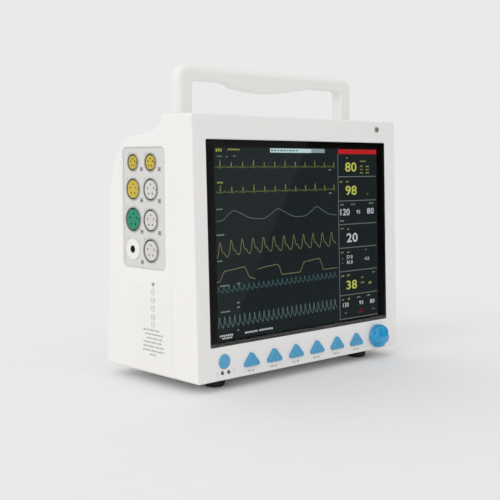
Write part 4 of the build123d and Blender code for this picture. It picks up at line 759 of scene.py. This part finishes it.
# ------------------------------------------------------------------- the sensor side
# A light grey ABS panel lies in a shallow recess. Dark shells hold the cores of seven
# sensor sockets, coded by colour, and a white cuff port. Pins are gold-plated brass.
panel_abs = moulded("moulded_grey_abs", "dcdbd9", "d7d6d4", 0.8, 0.02, 0.5)
coat_node("sensor_panel", panel_abs)
dark_pa = moulded("moulded_dark_polyamide", "a3a19b", "999791", 0.6, 0.02, 0.4)
coat_node("socket_shells", dark_pa)
yellow_pbt = moulded("moulded_yellow_pbt", "cdb83f", "c5b03b", 0.6, 0.015, 0.35)
green_pbt = moulded("moulded_green_pbt", "108a6c", "0e8266", 0.6, 0.015, 0.35)
grey_pbt = moulded("moulded_pale_grey_pbt", "d9d7d4", "d2d0cd", 0.6, 0.015, 0.35)
for name in ("socket_temp_rear", "socket_temp_front", "socket_pressure"):
    coat_node(name, yellow_pbt)
coat_node("socket_ecg", green_pbt)
for name in ("socket_output", "socket_oximeter", "socket_gas"):
    coat_node(name, grey_pbt)
white_pom = moulded("moulded_white_acetal", "f0efec", "ebeae7", 0.6, 0.01, 0.3)
coat_node("cuff_port", white_pom)


def metal(name, colour, rough, brush=0.0):
    """Bare or plated metal with fine marks left by its last working."""
    material = blank(name)
    place = node(material, "ShaderNodeTexCoord")
    stretch = node(
        material, "ShaderNodeMapping", links={"Vector": place.outputs["Object"]},
        values={"Scale": (1.0, 1.0, 1.0 + brush * 14)},
    )
    scratches = node(
        material, "ShaderNodeTexNoise", links={"Vector": stretch.outputs["Vector"]},
        values={"Scale": 1 / (0.8 * MM), "Detail": 3.0},
    )
    sheen = node(
        material, "ShaderNodeMapRange", links={"Value": scratches.outputs["Fac"]},
        values={"From Min": 0.3, "From Max": 0.7, "To Min": rough - 0.06, "To Max": rough + 0.08},
    )
    bump = node(
        material, "ShaderNodeBump", links={"Height": scratches.outputs["Fac"]},
        values={"Strength": 0.2, "Distance": 0.02 * MM},
    )
    skin = node(
        material, "ShaderNodeBsdfPrincipled",
        links={"Roughness": sheen.outputs["Result"], "Normal": bump.outputs["Normal"]},
        values={"Base Color": tone(colour), "Metallic": 1.0},
    )
    return finish_with(material, skin)


gold_plate = metal("gold_plated_brass", "d8b469", 0.28)
CORE_IN = 2.4
PIN_COUNT, PIN_SPREAD, PIN_R, PIN_LEN, PIN_FOOT = 5, 0.55, 0.5, 7.5, 11.0
# depth behind the front, height and outer radius of each socket
contact_spots = {
    "socket_temp_rear": (103.7, 214.9, 9.2), "socket_temp_front": (74.4, 214.9, 9.5),
    "socket_pressure": (103.7, 187.6, 11.5), "socket_output": (74.4, 187.6, 11.8),
    "socket_ecg": (103.7, 156.5, 13.0), "socket_oximeter": (74.4, 156.5, 12.0),
    "socket_gas": (74.4, 125.8, 12.5),
}
CUFF_DEPTH, CUFF_HEIGHT = 103.7, 125.8
PANEL_SINK = 2.0


def print_left(depth, height, out):
    """Where ink and film lie on the recessed sensor panel."""
    return on_left(-depth, height, out - PANEL_SINK + 0.01)


def pin_place(a, b, out):
    """A pin stands in its hole from the bottom to just under the face."""
    return on_left(-a, b, out - PIN_FOOT)


for name, (depth, height, radius) in contact_spots.items():
    circle = (radius - CORE_IN) * PIN_SPREAD
    pins = []
    for k in range(PIN_COUNT):
        turn = math.radians(90 + 360 / PIN_COUNT * k)
        pins.append(disc(-depth + circle * math.cos(turn), height + circle * math.sin(turn), PIN_R, 10))
    marks(name + "_pins", pins, pin_place, PIN_LEN, gold_plate)

# A thin dark sleeve lines the cuff port's bore, a little below its mouth. Its dark grey is painted shade, so
# the bore reads as a dark hole.
bore_shade_sleeve = moulded("painted_bore_shade", "3a3937", "42413f", 0.6, 0.02, 0.6)
LINING_R, LINING_T, LINING_LEN, LINING_SINK = 3.98, 0.43, 10.0, 0.7
lining = ring(-CUFF_DEPTH, CUFF_HEIGHT, LINING_R, LINING_T, 28)


def lining_place(a, b, out):
    """The lining lies in the bore, a little below its mouth."""
    return on_left(-a, b, out - LINING_LEN - LINING_SINK)


# The sleeve's dark colour is painted shade inside the bore.
marks("cuff_port_painted_shade", lining, lining_place, LINING_LEN, bore_shade_sleeve)

# Signs by each socket: a grey square below it on the right and a short slanted tick
# above it on the left, pad-printed. They stand for the real ones without lettering.
dark_ink = moulded("pad_printed_dark_ink", "8b8a85", "92918c", 0.4, 0.004, 0.5)
squares, ticks = [], []
for row, height in enumerate((208.0, 176.4, 144.4, 113.2)):
    for depth in (89.6, 60.4)[: 2 if row < 3 else 1]:
        squares += [bar(-depth, height + rise, 4.4, 0.7) for rise in (0.0, 1.8, -1.8)]
        squares += [bar(-depth + side, height, 0.7, 4.2) for side in (-1.9, 1.9)]
        squares.append(disc(-depth, height, 1.3, 10))
for depth, height, radius in [*contact_spots.values(), (CUFF_DEPTH, CUFF_HEIGHT, 11.5)]:
    tx, ty = -depth - radius * 0.78 - 1.0, height + radius * 0.78 + 1.4
    ticks.append([(tx - 2.0, ty - 1.6), (tx - 1.3, ty - 2.2), (tx + 2.0, ty + 1.6), (tx + 1.3, ty + 2.2)])
PANEL_INK_T = 0.03
marks("socket_squares", squares, print_left, PANEL_INK_T, dark_ink)
marks("socket_ticks", ticks, print_left, PANEL_INK_T, grey_ink)

# The rating label is a satin polyester film, printed grey: a column of small signs over
# seven rows of small type. The rows are plain bars here, so it holds no lettering.
label_film = moulded("satin_polyester_film", "f1f0ee", "eeedeb", 0.5, 0.004, 0.3)
coat_node("side_label", label_film)
label_ink = moulded("label_grey_ink", "b9b8b4", "b3b2ae", 0.4, 0.004, 0.5)


def print_label(a, b, out):
    """Where ink lies on the label."""
    return on_left(-a, b, out + 0.31)


LABEL_ROWS = [(-86, -57), (-83, -54), (-80, -55), (-86, -53), (-86, -52), (-87, -51), (-75, -64)]
WORD_WIDTHS, WORD_GAP, WORD_LEAST = (5.2, 3.4, 6.0, 2.6), 1.0, 2.0
ROW_TOP, ROW_PITCH, ROW_H = 45.2, 4.2, 1.7
label_marks = []
for row, (start, end) in enumerate(LABEL_ROWS):
    x = start
    k = row
    while x < end - WORD_LEAST:
        width = min(WORD_WIDTHS[k % len(WORD_WIDTHS)], end - x)
        label_marks.append(bar(x + width / 2, ROW_TOP - row * ROW_PITCH, width, ROW_H))
        x += width + WORD_GAP
        k += 1
SIGNS_X, LINE_W = -69.5, 0.7
for i, y in enumerate((84.4, 76.2, 67.6, 59.0, 51.6)):
    if i % 2:
        label_marks.append(bar(SIGNS_X, y, 6.0, LINE_W))
        label_marks += [bar(SIGNS_X, y + rise, 4.0, LINE_W) for rise in (-2.2, 2.2)]
        label_marks += [bar(SIGNS_X + side, y, LINE_W, 5.0) for side in (-2.9, 2.9)]
    else:
        label_marks += ring(SIGNS_X, y, 3.2, LINE_W, 16) + [bar(SIGNS_X, y, 3.0, LINE_W)]
marks("label_print", label_marks, print_label, INK_T, label_ink)
label_sign = [bar(-69.0, 93.0, 5.0, 1.4), bar(-69.0, 91.2, 2.2, 2.6)]
marks("label_sign", label_sign, print_label, INK_T, dark_ink)

# --------------------------------------------------------------- the connector plate
# A bent steel plate closes the casing's back and carries the connectors. It is powder
# coated light grey, with the fine orange-peel skin that the coating leaves.
powder_coat = moulded("powder_coated_steel", "b9bbbb", "b3b5b5", 0.7, 0.03, 0.5)
coat_node("io_plate", powder_coat)

# Mains inlet: a moulded black polyester body, screwed to the plate. The network and
# signal jacks have shells of tinned steel, and the earth post is plated steel.
black_pbt = moulded("moulded_black_pbt", "1f1f21", "262628", 0.6, 0.02, 0.4)
coat_node("ac_inlet", black_pbt)
tinned_steel = metal("tinned_steel", "c2c3c1", 0.3)
coat_node("network_port", tinned_steel)
coat_node("signal_port", tinned_steel)
zinc_plate = metal("zinc_plated_steel", "b9bab8", 0.32, 0.6)
coat_node("earth_post", zinc_plate)

# The speaker's frame and basket are moulded black, behind slots in the casing.
coat_node("speaker", black_pbt)

# ------------------------------------------------------------------ the battery side
# The battery door has the casing's white ABS and hangs on a steel pin. Behind it lie
# a black bay and a slide-in pack in a shrunk sleeve with a satin skin.
coat_node("battery_bay", black_pbt)
coat_node("door_pin", zinc_plate)
shrunk_sleeve = moulded("shrunk_pvc_sleeve", "2c3f66", "314570", 1.4, 0.05, 0.3, 0.6)
coat_node("battery_pack", shrunk_sleeve)

# ----------------------------------------------------------------------- the controls
# Under the keys lie a green glass-laminate board, black switch bodies and the dial's
# encoder. The encoder's shaft is turned brass, left bare.
green_laminate = moulded("green_glass_laminate", "1f6a3c", "1b6137", 0.5, 0.02, 0.35)
for name in ("main_board", "key_board", "sensor_board"):
    coat_node(name, green_laminate)
for name in ("key_switches", "encoder_housing", "encoder_rotor"):
    coat_node(name, black_pbt)
turned_brass = metal("turned_brass", "c9a95c", 0.3)
coat_node("encoder_shaft", turned_brass)

# ------------------------------------------------------------------ frames and fixings
# The panel's frame, the chassis, the screws and the handle's pins are zinc-plated
# steel. Brass inserts are pressed into the underside for the stand's screws.
for name in ("lcd_frame", "chassis", "case_screws", "inner_screws", "handle_pins"):
    coat_node(name, zinc_plate)
coat_node("mount_inserts", turned_brass)
fibre = moulded("pressed_fibre", "4b4a48", "545350", 0.3, 0.04, 0.8)
coat_node("friction_washers", fibre)

# ------------------------------------------------------------------ pump, hose, supply
# The cuff pump and the power supply have die-cast aluminium cases with a fine grain.
# The hose is extruded silicone, milky and a little glossy.
cast_alloy = metal("cast_aluminium", "c3c5c6", 0.42)
coat_node("cuff_pump", cast_alloy)
coat_node("power_supply", cast_alloy)
silicone = moulded("silicone_hose", "cfcfcb", "c8c8c4", 0.8, 0.01, 0.35)
coat_node("air_hose", silicone)

# --------------------------------------------------------------------------- the feet
# Four feet of black moulded rubber are pressed into the underside by their stems.
# Dust and scuffs make the rubber uneven.
black_rubber = moulded("moulded_black_rubber", "1b1b1b", "2b2b2b", 0.8, 0.06, 0.7, 0.3)
coat_node("feet", black_rubber)
